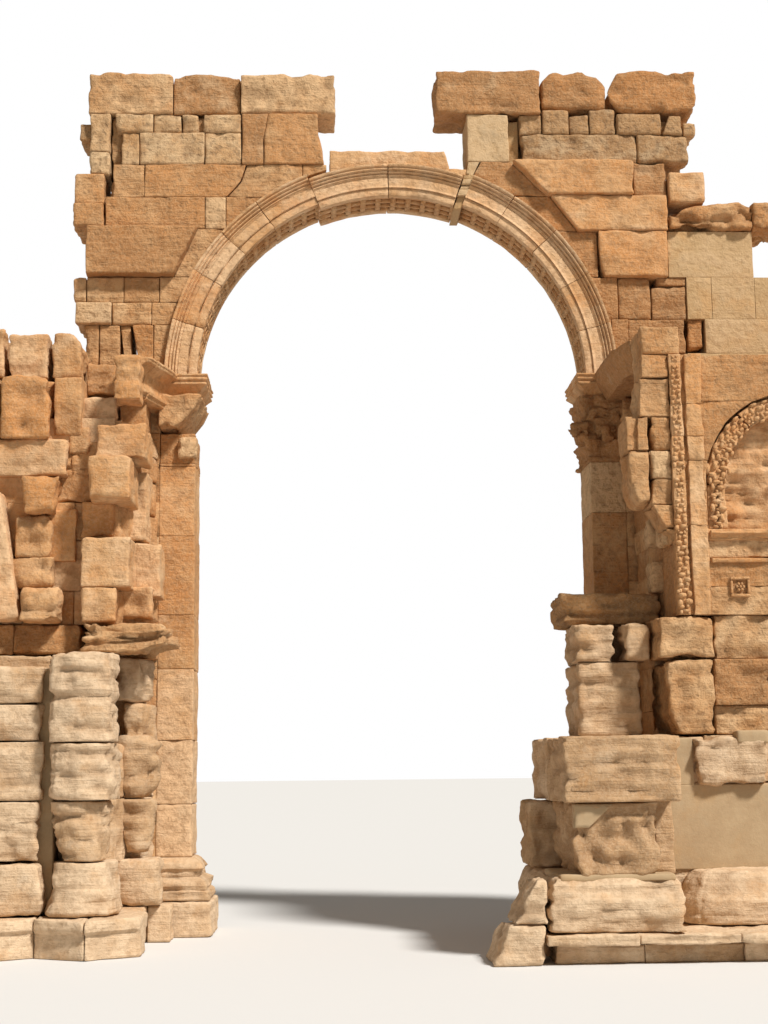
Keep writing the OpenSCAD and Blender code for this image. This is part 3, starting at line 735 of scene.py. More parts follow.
class Tree:
    """A Geometry Nodes tree with named inputs."""

    kinds = {
        float: "NodeSocketFloat", int: "NodeSocketInt", tuple: "NodeSocketVector",
        type(None): "NodeSocketMaterial",
    }

    def __init__(self, name: str, sizes: dict[str, float | int | tuple]) -> None:
        """Makes the tree and its interface.

        Args:
            name: The tree's name.
            sizes: Named inputs with their first values; a tuple is a vector.
        """
        self.tree = bpy.data.node_groups.new(name, "GeometryNodeTree")
        self.graph = Graph(self.tree)
        face = self.tree.interface
        face.new_socket("Geometry", in_out="INPUT", socket_type="NodeSocketGeometry")
        self.sockets: dict[str, str] = {}
        for key, value in {**sizes, "Material": None}.items():
            socket = face.new_socket(key, in_out="INPUT", socket_type=self.kinds[type(value)])
            if value is not None:
                socket.default_value = value
            self.sockets[key] = socket.identifier
        face.new_socket("Geometry", in_out="OUTPUT", socket_type="NodeSocketGeometry")
        self.source = self.graph.node("NodeGroupInput")

    def size(self, name: str) -> Signal:
        """A named input as a signal."""
        return self.source.out(name)

    def attribute(self, name: str, kind: str = "FLOAT") -> Signal:
        """A named attribute of the mesh."""
        node = self.graph.node("GeometryNodeInputNamedAttribute", {"data_type": kind}, {"Name": name})
        return node.out("Attribute")

    def moved(self, **inputs: Signal) -> Signal:
        """Geometry whose points are set at a Position or moved by an Offset."""
        return self.graph.node("GeometryNodeSetPosition", None, inputs).out()

    def finish(self, geometry: Signal) -> None:
        """Ends the tree in Realize Instances and Set Material.

        Args:
            geometry: What the tree has made.
        """
        real = self.graph.node("GeometryNodeRealizeInstances", None, {"Geometry": geometry})
        dressed = self.graph.node(
            "GeometryNodeSetMaterial", None,
            {"Geometry": real.out(), "Material": self.size("Material")},
        )
        self.graph.node("NodeGroupOutput", None, {"Geometry": dressed.out()})

    def sink(self, geometry: Signal, way: Signal, sunk: Signal, dark: float) -> None:
        """Ends the tree with the surface sunk in and with that depth noted for the material.

        Args:
            geometry: The stones.
            way: Which way is out.
            sunk: How deep each point sinks.
            dark: How strongly a metre of depth counts as a hollow, darkened as painted shade and dirt.
        """
        g = self.graph
        inputs = {"Vector": way, "Scale": sunk * -1.0}
        inward = g.node("ShaderNodeVectorMath", {"operation": "SCALE"}, inputs).out()
        worn = self.moved(Geometry=geometry, Offset=inward)
        noted = g.node(
            "GeometryNodeStoreNamedAttribute", {"data_type": "FLOAT", "domain": "POINT"},
            {"Geometry": worn, "Name": "hollow", "Value": sunk * dark},
        )
        self.finish(noted.out())

    def scatter(self, points: Signal, spin: Signal) -> None:
        """Ends the tree with its source mesh on some points, each copy of its own size.

        Args:
            points: Where the copies stand.
            spin: How each of them is turned.
        """
        g = self.graph
        uneven = self.size("Uneven")
        scale = g.node(
            "FunctionNodeRandomValue", {"data_type": "FLOAT"},
            {"Min": 1.0 - uneven, "Max": 1.0 + uneven, "Seed": self.size("Seed")},
        ).out("Value")
        copies = g.node(
            "GeometryNodeInstanceOnPoints", None,
            {"Points": points, "Instance": self.size("Geometry"), "Rotation": spin,
             "Scale": scale},
        )
        self.finish(copies.out())

    def apply(
        self, obj: bpy.types.Object, finish: Finish, sizes: dict[str, float | int | tuple]
    ) -> None:
        """Runs the tree on an object and leaves it with the result as a plain mesh.

        Args:
            obj: The object that carries the source mesh.
            finish: The finish that the result gets.
            sizes: Values for the named inputs.
        """
        modifier = obj.modifiers.new(self.tree.name, "NODES")
        modifier.node_group = self.tree
        for key, value in sizes.items():
            modifier[self.sockets[key]] = value
        modifier[self.sockets["Material"]] = quarry.get(finish)
        depsgraph = bpy.context.evaluated_depsgraph_get()
        depsgraph.update()
        mesh = bpy.data.meshes.new_from_object(
            obj.evaluated_get(depsgraph), preserve_all_data_layers=True, depsgraph=depsgraph
        )
        obj.modifiers.remove(modifier)
        old = obj.data
        obj.data = mesh
        bpy.data.meshes.remove(old)


def weathering_tree() -> Tree:
    """Builds the tree that wears stones: dents, layers and grit, always inwards.

    Returns:
        A tree for meshes that carry the attributes of a stone.
    """
    tree = Tree(
        "weathering",
        {"Dents": 0.035, "Dent Size": 0.45, "Layers": 0.03, "Layer Height": 0.16,
         "Grit": 0.008, "Seed": 3},
    )
    g = tree.graph
    wear, bed, stone = (tree.attribute(key) for key in ("wear", "bed", "stone"))
    way = tree.attribute("way", "FLOAT_VECTOR")
    shift = g.joined(stone * 1.7, stone * 2.3, stone + tree.size("Seed"))
    place = g.vector("ADD", g.node("GeometryNodeInputPosition").out(), shift)
    dents = g.noise(place, 1.0 / tree.size("Dent Size"), 3.0, 0.5).above(0.42, 0.78)
    stretch = g.joined(0.9, 0.9, 1.0 / tree.size("Layer Height"))
    layers = g.noise(g.vector("MULTIPLY", place, stretch), 1.0, 3.0).above(0.44, 0.68)
    grit = g.noise(place, 4.6, 1.5, 0.5).above(0.34, 0.66)
    upright = g.node("ShaderNodeSeparateXYZ", None, {"Vector": way}).out("Z")
    flank = 1.0 - upright * upright
    sunk = wear * (
        dents * tree.size("Dents")
        + layers * bed * flank * tree.size("Layers")
        + grit * tree.size("Grit")
    )
    tree.sink(tree.size("Geometry"), way, sunk, 14.0)
    return tree


def repeat_tree() -> Tree:
    """Builds the tree that repeats a motif along a straight line, every other one turned.

    Returns:
        A tree whose source mesh is the motif.
    """
    tree = Tree(
        "carved_row",
        {"Count": 4, "Start": (0.0, 0.0, 0.0), "Step": (0.0, 0.0, 0.1), "Turn": math.pi,
         "Uneven": 0.15, "Seed": 5},
    )
    g = tree.graph
    line = g.node(
        "GeometryNodeMeshLine", {"mode": "OFFSET"},
        {"Count": tree.size("Count"), "Start Location": tree.size("Start"),
         "Offset": tree.size("Step")},
    )
    odd = g.maths("MODULO", g.node("GeometryNodeInputIndex").out(), 2.0)
    tree.scatter(line.out(), g.joined(0.0, odd * tree.size("Turn"), 0.0))
    return tree


def on_circle(g: Graph, angle: Signal, radius: Signal, y: Signal | float) -> Signal:
    """A place on an upright circle, with its angle taken from the top."""
    return g.joined(g.maths("SINE", angle) * radius, y, g.maths("COSINE", angle) * radius)


def arc_tree() -> Tree:
    """Builds the tree that repeats a motif round an upright arc, turned to follow it.

    Returns:
        A tree whose source mesh is the motif, made for the top of the arc.
    """
    tree = Tree(
        "carved_arc",
        {"Count": 8, "Radius": 1.0, "Start": -1.0, "Step": 0.1, "Centre": (0.0, 0.0, 0.0),
         "Uneven": 0.1, "Seed": 5},
    )
    g = tree.graph
    line = g.node("GeometryNodeMeshLine", {"mode": "OFFSET"}, {"Count": tree.size("Count")})
    index = g.node("GeometryNodeInputIndex").out()
    angle = tree.size("Start") + index * tree.size("Step")
    place = g.vector("ADD", on_circle(g, angle, tree.size("Radius"), 0.0), tree.size("Centre"))
    tree.scatter(tree.moved(Geometry=line.out(), Position=place), g.joined(0.0, angle, 0.0))
    return tree


def bend_tree() -> Tree:
    """Builds the tree that bends straight wedge stones round an arch and wears them.

    Returns:
        A tree for stones that lie along X, with their height over the intrados as Z.
    """
    tree = Tree(
        "bent_to_the_ring",
        {"Radius": RING_IN, "Centre": (0.0, 0.0, SPRINGING), "Dents": 0.012, "Grit": 0.004,
         "Seed": 2},
    )
    g = tree.graph
    place = g.node("GeometryNodeInputPosition").out()
    parts = g.node("ShaderNodeSeparateXYZ", None, {"Vector": place})
    angle = parts.out("X") / tree.size("Radius")
    upright = on_circle(g, angle, parts.out("Z") + tree.size("Radius"), parts.out("Y"))
    bent = tree.moved(
        Geometry=tree.size("Geometry"), Position=g.vector("ADD", upright, tree.size("Centre"))
    )
    dents = g.noise(place, 3.2).above(0.46, 0.8) * tree.size("Dents")
    grit = g.noise(place, 13.0, 3.0, 0.6).above(0.4, 0.8) * tree.size("Grit")
    sunk = tree.attribute("wear") * (dents + grit)
    tree.sink(bent, g.node("GeometryNodeInputNormal").out("Normal"), sunk, 20.0)
    return tree


WEATHERING = weathering_tree()
REPEAT = repeat_tree()
ON_ARC = arc_tree()
BEND = bend_tree()


# Masonry


@dataclass
class Neighbours:
    """Knows every stone's box, and finds which faces of a stone are open to view."""

    stones: list[Stone] = field(default_factory=list)
    shares: tuple[float, ...] = (0.12, 0.5, 0.88)
    away: float = 0.035
    slack: float = 0.012
    open_under: float = 0.7

    def _covered(
        self, box: np.ndarray, others: np.ndarray, axis: int, end: int
    ) -> np.ndarray:
        """Tests points just outside one face of a box.

        Args:
            box: The box, low and high for each axis.
            others: The boxes of all other stones.
            axis: The axis that the face lies across.
            end: 0 for its low face, 1 for the high one.

        Returns:
            For each point, whether it lies in another stone or under the floor.
        """
        spots = np.array([(s, t) for s in self.shares for t in self.shares])
        points = np.empty((len(spots), 1, 3))
        points[:, 0, axis] = box[axis, end] + (self.away if end else -self.away)
        for other, share in zip([a for a in range(3) if a != axis], spots.T):
            points[:, 0, other] = box[other, 0] + share * (box[other, 1] - box[other, 0])
        low, high = others[..., 0] + self.slack, others[..., 1] - self.slack
        inside = ((points > low) & (points < high)).all(axis=-1)
        return inside.any(axis=1) | (points[:, 0, 2] < 0)

    def settle(self) -> None:
        """Marks the visible and the buried faces of all stones."""
        boxes = np.array([stone.box() for stone in self.stones]).reshape(-1, 3, 2)
        for number, stone in enumerate(self.stones):
            others = np.delete(boxes, number, axis=0)
            covered = [
                self._covered(boxes[number], others, axis, end)
                for axis in range(3) for end in (0, 1)
            ]
            stone.seen = tuple(bool(face.mean() < self.open_under) for face in covered)
            stone.buried = tuple(bool(face.all()) for face in covered)


@dataclass
class Masonry:
    """A piece made of stones that share one finish and stand for one solid, or for none."""

    name: str
    finish: Finish
    solid: str
    stones: list[Stone]
    dents: float = 0.035
    layers: float = 0.03
    grit: float = 0.008
    dent_size: float = 0.45
    seed: int = 1
    shade: float = 0.0

    def build(self) -> None:
        """Builds, wears and registers the piece."""
        store = MeshStore()
        for number, stone in enumerate(self.stones):
            stone.tone += self.shade
            store.add(*stone.shell(self.seed * 101 + number * 7))
        obj = store.build(self.name)
        WEATHERING.apply(
            obj, self.finish,
            {"Dents": self.dents, "Layers": self.layers, "Grit": self.grit,
             "Dent Size": self.dent_size, "Seed": self.seed},
        )
        register(obj, self.solid)


def register(obj: bpy.types.Object, solid: str = "") -> None:
    """Puts a finished piece on the root body and says what it stands for.

    Args:
        obj: The piece.
        solid: The solid that it replaces, if any.
    """
    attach(obj, "root")
    if solid:
        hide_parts(solid)
    log.info("%s: %d faces", obj.name, len(obj.data.polygons))


chance = np.random.default_rng(20)


def row(joints: Sequence[float], z0: float, z1: float, **style: float) -> list[Stone]:
    """Stones side by side in one course.

    Args:
        joints: Places of their ends, from left to right.
        z0: Bottom of the course.
        z1: Top of the course.
        style: Fields of Stone that all of them share.

    Returns:
        The stones, each with its own slight shade.
    """
    made = []
    for left, right in spans(joints):
        stone = Stone(left, right, z0, z1, **style)
        stone.tone += chance.normal(0.0, 0.28)
        stone.warmth += chance.normal(0.0, 0.35)
        made.append(stone)
    return made


def bonded(
    x: Point, y: Point, levels: Sequence[float], width: float, leaves: int = 1,
    side_splay: float = 0.0, **style: float,
) -> list[Stone]:
    """Courses of stones in running bond, without those that no face shows.

    Args:
        x: Left and right end.
        y: Front and back.
        levels: Heights of the bed joints.
        width: Usual length of a stone.
        leaves: Number of stones through the thickness.
        side_splay: How fast the right end draws back towards the front.
        style: Fields of Stone that all of them share.

    Returns:
        The stones.
    """
    made = []
    count = max(1, round((x[1] - x[0]) / width))
    for course, (z0, z1) in enumerate(spans(levels)):
        odd = course % 2
        marks = [x[0]]
        for k in range(1, count + odd):
            share = (k - 0.5 * odd) / count
            at = x[0] + share * (x[1] - x[0]) + chance.uniform(-0.12, 0.12) * width
            if marks[-1] + 0.3 * width < at < x[1] - 0.3 * width:
                marks.append(at)
        marks.append(x[1])
        cuts = [y[0]]
        for k in range(1, leaves):
            cuts.append(y[0] + (k + chance.uniform(-0.22, 0.22)) * (y[1] - y[0]) / leaves)
        cuts.append(y[1])
        last = len(marks) - 2
        for i, (left, right) in enumerate(spans(marks)):
            for j, (front, back) in enumerate(spans(cuts)):
                stone = Stone(left, right, z0, z1, front, back, **style)
                stone.tone += chance.normal(0.0, 0.25)
                stone.warmth += chance.normal(0.0, 0.35)
                if 0 < i < last and 0 < j < leaves - 1:
                    continue
                if i == last:
                    stone.right = right - side_splay * (y[1] - back)
                    stone.splay_right = side_splay
                if j:
                    stone.cell *= 1.8
                made.append(stone)
    return made


def lump(
    centre: Sequence[float], radii: Sequence[float], around: int = 6, up: int = 4
) -> tuple[np.ndarray, list[tuple[int, ...]]]:
    """A small closed rounded lump.

    Args:
        centre: Its centre.
        radii: Its half sizes.
        around: Faces around it.
        up: Faces from pole to pole.

    Returns:
        Vertices and faces.
    """
    verts = [(0.0, 0.0, -1.0)]
    for i in range(1, up):
        polar = -math.pi / 2 + math.pi * i / up
        flat = math.cos(polar)
        for j in range(around):
            turn = 2 * math.pi * j / around
            verts.append((flat * math.cos(turn), flat * math.sin(turn), math.sin(polar)))
    verts.append((0.0, 0.0, 1.0))
    faces = []
    last = (up - 2) * around
    for j in range(around):
        a, b = 1 + j, 1 + (j + 1) % around
        faces.append((0, b, a))
        for low in range(0, last, around):
            faces.append((low + a, low + b, low + b + around, low + a + around))
        faces.append((last + a, last + b, len(verts) - 1))
    return np.array(verts) * np.array(radii) + np.array(centre), faces


# The ring


@dataclass
class Ring:
    """The moulded ring of wedge stones, with coffers under it and slipped stones at the crown."""

    inner_band: float = 0.14
    outer_band: float = 0.2
    face: float = 0.56
    step: float = 0.028
    moulding: float = 0.12
    coffer_border: float = 0.14
    coffer_depth: float = 0.06
    coffer_pitch: float = 0.27
    bar: float = 0.06
    rib: float = 0.11
    boss: tuple[float, float, float] = (0.05, 0.05, 0.026)
    joint: float = 0.005
    left: tuple[float, ...] = (180, 165, 151, 139, 127, 112)
    crown: tuple[float, ...] = (112, 91, 71.2)
    right: tuple[float, ...] = (67.9, 56, 42, 28, 14, 0)
    slip: float = 0.09

    def profile(self) -> list[Point]:
        """The section of the face: two flat bands, then fillets, a hollow and a crown moulding.

        Returns:
            Shares of how far out, and of the height over the intrados.
        """
        a = self.inner_band
        b = self.inner_band + self.outer_band
        groove = 0.01
        step, full = self.step, self.moulding
        lines = [
            (0.0, 0.0), (0.0, a - groove), (-groove, a - groove), (-groove, a), (step, a),
            (step, b - groove), (step - 0.012, b - groove), (step - 0.012, b), (0.024, b + 0.004),
            (0.024, b + 0.02), (0.044, b + 0.023), (0.044, b + 0.042), (0.012, b + 0.05),
            (0.012, b + 0.058), (0.066, b + 0.068), (0.08, b + 0.088), (0.05, b + 0.096),
            (0.05, b + 0.104), (full * 0.88, b + 0.12), (full * 0.92, b + 0.142),
            (0.085, b + 0.15), (0.085, b + 0.158), (full * 1.08, b + 0.172),
        ]
        tall = self.face + 2e-3
        spread = [(out / full, (up + n * 1e-4) / tall) for n, (out, up) in enumerate(lines)]
        return spread + [(1.1, 1.0)]

    def straight(self, joints: Sequence[float], seed: int) -> bpy.types.Object:
        """The wedge stones between some joints, laid out straight.

        Args:
            joints: Angles in degrees from the right-hand springing, falling.
            seed: First of the stones' numbers.

        Returns:
            An object in straight coordinates.
        """
        store = MeshStore()
        for number, (high, low) in enumerate(spans(joints)):
            x0 = math.radians(90 - high) * RING_IN + self.joint / 2
            x1 = math.radians(90 - low) * RING_IN - self.joint / 2
            stone = Stone(x0, x1, 0.0, self.face, tone=float(chance.normal(0.55, 0.22)),
                          warmth=float(chance.normal(-0.05, 0.3)), wear=0.5, bed=0.0, edge=0.008,
                          cell=0.055, profile=self.profile(),
                          reach=(0.0, 0.0, self.moulding, self.moulding),
                          seen=(True, True, True, True, True, False))
            verts, faces, values = stone.shell(seed + number * 13)
            depth = verts[:, 1] - WALL_FRONT
            border = self.coffer_border
            inside = (depth > border) & (depth < WALL_BACK - WALL_FRONT - border)
            soffit = verts[:, 2] < 0.03
            verts[inside & soffit, 2] += self.coffer_depth
            store.add(verts, faces, values)
        return store.build("ring_stones")

    def bent(
        self, name: str, joints: Sequence[float], shift: Point, solid: str, seed: int
    ) -> None:
        """One stretch of the ring.

        Args:
            name: The piece's name.
            joints: Angles of its joints.
            shift: How far it has slipped, across and up.
            solid: The solid that it stands for.
            seed: First of its stones' numbers.
        """
        obj = self.straight(joints, seed)
        obj.name = name
        centre = (shift[0], 0.0, SPRINGING + shift[1])
        BEND.apply(obj, HONEY, {"Centre": centre, "Seed": seed})
        register(obj, solid)

    def coffers(self, name: str, joints: Sequence[float], shift: Point) -> None:
        """Rows of square coffers with a boss in each, under one stretch of the ring.

        Args:
            name: The piece's name.
            joints: Angles of the ring's joints.
            shift: How far this stretch has slipped, across and up.
        """
        store = MeshStore()
        middle = (WALL_FRONT + WALL_BACK) / 2
        half = (WALL_BACK - WALL_FRONT) / 2 - self.coffer_border
        for y in (-half + self.bar / 2, -half / 3, half / 3, half - self.bar / 2):
            store.add(*self._bar((0.0, middle + y), (self.coffer_pitch, self.bar)))
        store.add(*self._bar((self.coffer_pitch / 2, middle), (self.rib, half * 2)))
        for y in (-half * 2 / 3, 0.0, half * 2 / 3):
            store.add(*lump((0.0, middle + y, self.coffer_depth), self.boss, 8, 4))
        obj = store.build(name)
        sweep = math.radians(joints[0] - joints[-1])
        count = round(sweep * RING_IN / self.coffer_pitch)
        step = sweep / count
        ON_ARC.apply(obj, HONEY, {
            "Count": count, "Radius": RING_IN, "Step": step, "Uneven": 0.0,
            "Start": math.radians(90 - joints[0]) + step / 2,
            "Centre": (shift[0], 0.0, SPRINGING + shift[1]),
        })
        register(obj)

    def _bar(self, centre: Point, size: Point) -> tuple[np.ndarray, list[tuple[int, ...]]]:
        """A low bar between coffers, with bevelled flanks, over the soffit of an arc's top.

        Args:
            centre: Its middle, across and in depth.
            size: Its lengths, across and in depth.

        Returns:
            Vertices and faces.
        """
        x, y = size[0] / 2, size[1] / 2
        low, high, slope = self.coffer_depth + 0.01, 0.006, 0.008
        verts = np.array(
            [(sx * (x - k), sy * (y - k), z) for z, k in ((high, slope), (low, 0.0))
             for sx, sy in ((-1, -1), (1, -1), (1, 1), (-1, 1))]
        )
        faces = [(3, 2, 1, 0), (4, 5, 6, 7)]
        faces += [(i, (i + 1) % 4, (i + 1) % 4 + 4, i + 4) for i in range(4)]
        return verts + np.array((*centre, 0.0)), faces

    def build(self) -> None:
        """Builds the three stretches and their coffers."""
        lean = math.radians(self.crown[0])
        slipped = (-self.slip * math.cos(lean), -self.slip * math.sin(lean))
        for name, joints, shift, solid, seed in (
            ("ring_left", self.left, (0.0, 0.0), "arch_ring_left", 40),
            ("ring_crown", self.crown, slipped, "slipped_crown_stones", 60),
            ("ring_right", self.right, (0.0, 0.0), "arch_ring_right", 80),
        ):
            self.bent(name, joints, shift, solid, seed)
            self.coffers(name + "_coffers", joints, shift)


# The rear wall over the springing


@dataclass
class UpperWall:
    """The thin wall over the springing: spandrels, upper courses and top stones.

    In the lists of single stones, here and in the piers, s is a stone, c[0] the lowest course
    between two of the beds and n the niche.
    """

    slip: Point = (0.034, -0.083)
    beds_left: tuple[float, ...] = (9.56, 10.521, 10.931, 11.401, 12.302, 12.901, 13.52, 14.131,
                                    14.489, 15.301)
    beds_right: tuple[float, ...] = (9.56, 9.99, 10.621, 11.401, 12.261, 12.929, 13.59, 14.131,
                                     14.501, 15.401)

    def left(self) -> list[Masonry]:
        """The wall at the left of the ring.

        Returns:
            Its five pieces.
        """
        s, c = Stone, spans(self.beds_left)
        spandrel = [
            s(-5.459, -5.19, *c[0], bed=0.6, edge=0.05, wear=1.3),
            s(-5.186, -4.824, *c[0], 1.885, tone=0.2, edge=0.045, bed=0.5),
            s([(-4.7, 9.56), (-4.82, 10.52)], [(-4.6, 9.56), (-4.64, 10.52)], *c[0], 1.93, edge=0.035,
              tone=0.2),
            s([(-4.45, 9.66), (-4.6, 10.52)], [(-4.22, 9.56), (-4.23, 10.6)], 9.62, 10.521, 1.835,
              tone=-0.1, warmth=0.8, edge=0.04),
            by_ring(-4.221, -3.0, *c[0], tone=0.3),
            s(-5.608, -4.972, *c[1], 1.8, tone=0.9, warmth=-0.6, edge=0.06, bed=0.6),
            s(-4.969, -4.264, *c[1], tone=0.4, edge=0.05, bed=0.5),
            by_ring(-4.261, -2.9, *c[1], tone=0.2),
            s(-5.664, -5.43, *c[2], tone=0.3, edge=0.06, wear=1.6),
            s(-5.42, -4.763, *c[2], tone=0.3, edge=0.05, bed=0.6),
            s(-4.76, -4.13, *c[2], edge=0.05, wear=1.3),
            by_ring(-4.124, -2.8, *c[2], tone=0.2),
            by_ring([(-3.871, 11.401), (-3.461, 12.302)], -2.5, *c[3], tone=0.1, warmth=0.2),
            s(-5.113, -3.336, *c[4], tone=-0.2, warmth=0.3),
            by_ring(-3.333, -2.96, *c[4], tone=0.7, warmth=-0.4, edge=0.035),
            by_ring(-2.955, -1.7, *c[4], warmth=0.2),
            s(-5.001, -4.425, *c[5], 1.885, tone=-0.1, warmth=-0.3),
            s(-4.422, [(-2.96, 12.901), (-2.7, 13.2), (-2.6, 13.52)], *c[5], warmth=0.5),
            by_ring([(-2.95, 12.901), (-2.69, 13.2), (-2.59, 13.52)], -1.585, *c[5], tone=0.15,
                    wear=1.5),
            by_ring(-1.58, -1.142, *c[5], tone=0.3),
        ]
        courses = [
            s(-5.427, -5.05, 13.319, 13.76, tone=0.5, bed=0.5, edge=0.05),
            s(-5.427, -5.05, 13.76, 14.489, tone=0.2, warmth=0.2, bed=0.5, edge=0.05),
            s(-5.63, -5.4, 14.02, 14.36, 2.0, tone=-0.9, edge=0.06),
            s(-4.856, -4.529, *c[6], 1.885, tone=0.1, edge=0.05),
            s(-4.526, -3.352, *c[6], 1.875, tone=0.3, wear=1.5, edge=0.05),
            s(-3.349, -2.685, *c[6], tone=0.4, warmth=0.2, edge=0.07),
            s(-4.97, -4.283, *c[7], 1.86, tone=0.1, edge=0.085, wear=1.4),
            s(-4.28, -3.773, *c[7], 1.9, tone=-0.1, edge=0.085, wear=1.6),
            s(-3.77, -3.46, *c[7], 1.89, tone=-0.1, edge=0.075, wear=1.6),
            s(-3.4, -2.688, *c[7], tone=0.2, edge=0.08, wear=1.4),
            s(-5.05, -4.83, 12.9, 14.46, 2.02, tone=-1.6, edge=0.03, wear=2.0),
            s(-3.5, -3.36, 14.131, 14.47, 1.97, tone=-1.0, edge=0.03, wear=1.5),
        ]
        tops = [
            s(-5.467, -3.932, *c[8], tone=0.3, warmth=0.4, edge=0.07, wear=1.3, bed=0.4,
              top=[(-5.5, 15.27), (-5.2, 15.3), (-4.0, 15.26), (-3.9, 15.2)]),
            s(-3.928, -2.705, *c[8], 1.925, tone=-1.6, warmth=-0.5, edge=0.08, wear=1.5,
              top=[(-3.95, 15.26), (-3.5, 15.3), (-2.7, 15.29)]),
            s(-2.701, -0.973, *c[8], 1.835, tone=0.7, warmth=-0.1, edge=0.06, wear=1.3, bed=0.6,
              top=[(-2.7, 15.24), (-1.6, 15.28), (-0.97, 15.26)]),
        ]
        seam = [(-2.28, 13.52), (-2.28, 14.0), (-2.2, 14.489)]
        corner = [
            s(-2.677, seam, 13.52, 14.489, 1.845, tone=-0.7, warmth=-0.3, wear=1.4, edge=0.04),
            s(seam, [(-1.17, 13.52), (-1.2, 13.75), (-1.286, 14.1), (-1.286, 14.489)], 13.52, 14.489,
              1.825, warmth=0.6, wear=1.1, edge=0.045),
        ]
        proud = [
            s(-5.431, [(-3.871, 11.401), (-3.461, 12.302)], *c[3], 1.665, tone=-0.3, warmth=0.1,
              edge=0.04, wear=1.1, bed=0.1),
            s(-5.692, -5.13, 12.302, 12.75, 1.745, tone=-0.1, warmth=0.3, edge=0.07, bed=0.6, wear=1.3),
            s(-5.672, -5.13, 12.75, 13.319, 1.805, tone=0.1, warmth=0.3, edge=0.05),
        ]
        return [
            Masonry("spandrel_left_stones", OCHRE, "spandrel_left", spandrel, seed=11),
            Masonry("upper_courses_left_stones", BROWN, "upper_courses_left", courses,
                    dents=0.05, seed=12),
            Masonry("top_stones_left_stones", OCHRE, "top_stones_left", tops, dents=0.06, seed=13),
            Masonry("corner_block_left_stone", OCHRE, "corner_block_left", corner, seed=14),
            Masonry("projecting_left_stones", OCHRE, "projecting_stones_left", proud,
                    dents=0.03, seed=15),
        ]

    def right(self) -> list[Masonry]:
        """The wall at the right of the ring.

        Returns:
            Its seven pieces.
        """
        s, c = Stone, spans(self.beds_right)
        spandrel = [
            by_ring(2.5, 4.249, *c[0], tone=0.2),
            s(4.253, 5.298, *c[0], bed=0.5),
            by_ring(2.5, 3.95, *c[1], tone=0.3),
            s(3.955, 4.249, *c[1], tone=0.3),
            s(4.253, 5.29, *c[1], tone=0.1, bed=0.5, wear=1.3),
            s(5.32, 5.605, 10.06, 10.621, 1.9, tone=-0.8, warmth=1.2, edge=0.06, wear=1.6),
            by_ring(2.5, 4.08, *c[2], tone=0.3),
            s(4.084, 4.692, *c[2], 1.88, tone=-0.2, warmth=-0.3, edge=0.09),
            s(4.696, 5.328, 10.621, 11.25, 1.89, tone=-0.4, warmth=-0.5, edge=0.08, wear=2.0),
            s(4.8, 5.328, 11.25, 11.401, 1.87, tone=0.5, edge=0.04),
            by_ring(2.2, 3.739, *c[3], tone=0.2),
            by_ring(1.7, [(3.377, 12.261), (2.894, 12.929)], *c[4], tone=0.2, warmth=0.2),
            by_ring([(1.5, 12.929), (1.5, 13.3), (1.66, 13.59)], [(2.85, 12.929), (2.195, 13.59)],
                    *c[5], tone=0.5, wear=1.3),
            s(4.446, 5.053, *c[5], tone=-1.0, warmth=-0.6, edge=0.06, wear=1.6),
        ]
        courses = [
            s(2.38, 4.528, *c[6], 1.875, tone=-0.7, warmth=-0.6, wear=2.0, edge=0.07, bed=0.3),
            s(4.534, 5.511, *c[6], tone=-0.6, warmth=-0.4, wear=1.6, edge=0.13),
            s(2.38, 2.79, 14.131, 14.505, 1.89, tone=-1.0, warmth=-0.5, edge=0.05),
            s(2.81, 3.308, 14.131, 14.6, 1.865, tone=-0.2, edge=0.09),
            s(3.315, 3.67, 14.131, 14.58, 1.895, tone=-0.8, edge=0.08, wear=1.6),
            s(3.68, 4.17, 14.131, 14.62, 1.87, tone=-0.2, edge=0.09),
            s(4.18, 5.01, 14.131, 14.54, 1.865, tone=-0.3, edge=0.1),
            s([(5.02, 14.131), (5.15, 14.501)], [(5.415, 14.131), (5.38, 14.501)], *c[7], 1.865,
              tone=-0.1, edge=0.09),
            s(5.42, 5.66, 14.131, 14.4, 1.93, tone=0.1, warmth=0.5, edge=0.06),
            s(2.4, 5.4, 14.131, 14.46, 2.03, tone=-1.6, wear=2.0),
        ]
        tops = [
            s(0.848, 2.79, *c[8], 1.825, tone=0.6, warmth=-0.1, edge=0.05, wear=1.1, bed=0.8,
              top=[(0.8, 15.33), (1.6, 15.34), (2.8, 15.36)]),
            s(2.798, 4.012, 14.61, 15.401, 1.905, warmth=0.4, edge=0.17, wear=1.4,
              top=[(2.8, 15.2), (3.0, 15.36), (3.6, 15.4), (3.9, 15.28), (4.02, 15.1)]),
            s([(4.25, 14.55), (4.05, 14.75), (4.02, 15.0), (4.2, 15.39)],
              [(5.6, 14.55), (5.672, 14.7), (5.672, 15.39)], 14.55, 15.401, 1.845, tone=-0.4,
              warmth=1.3, edge=0.08, wear=1.4, bed=0.4, top=[(4.0, 15.33), (4.6, 15.38), (5.7, 15.37)]),
        ]
        post = [
            s(1.415, 2.19, 13.59, 14.501, tone=1.0, warmth=-0.5, edge=0.03, bed=0.5, wear=0.8),
            # The set-back stone is toned dark: painted shade of the recess at the post's right.
            s(2.19, 2.38, 13.59, 14.46, 2.08, tone=-1.0, edge=0.02),
        ]
        proud = [
            s([(2.85, 12.929), (2.195, 13.59)], 4.434, *c[5], 1.685, warmth=0.3, edge=0.05, wear=1.3),
            s([(3.377, 12.261), (2.894, 12.929)], 5.037, *c[4], 1.745, tone=0.1, warmth=0.3, edge=0.055,
              wear=1.3),
            s([(3.85, 11.401), (3.751, 11.8), (3.751, 12.261)], 5.005, *c[3], 1.765, warmth=0.5,
              edge=0.06, wear=1.3),
            s(5.065, 5.737, 12.796, 13.379, 1.765, tone=0.3, warmth=0.2, edge=0.07, wear=1.3),
        ]
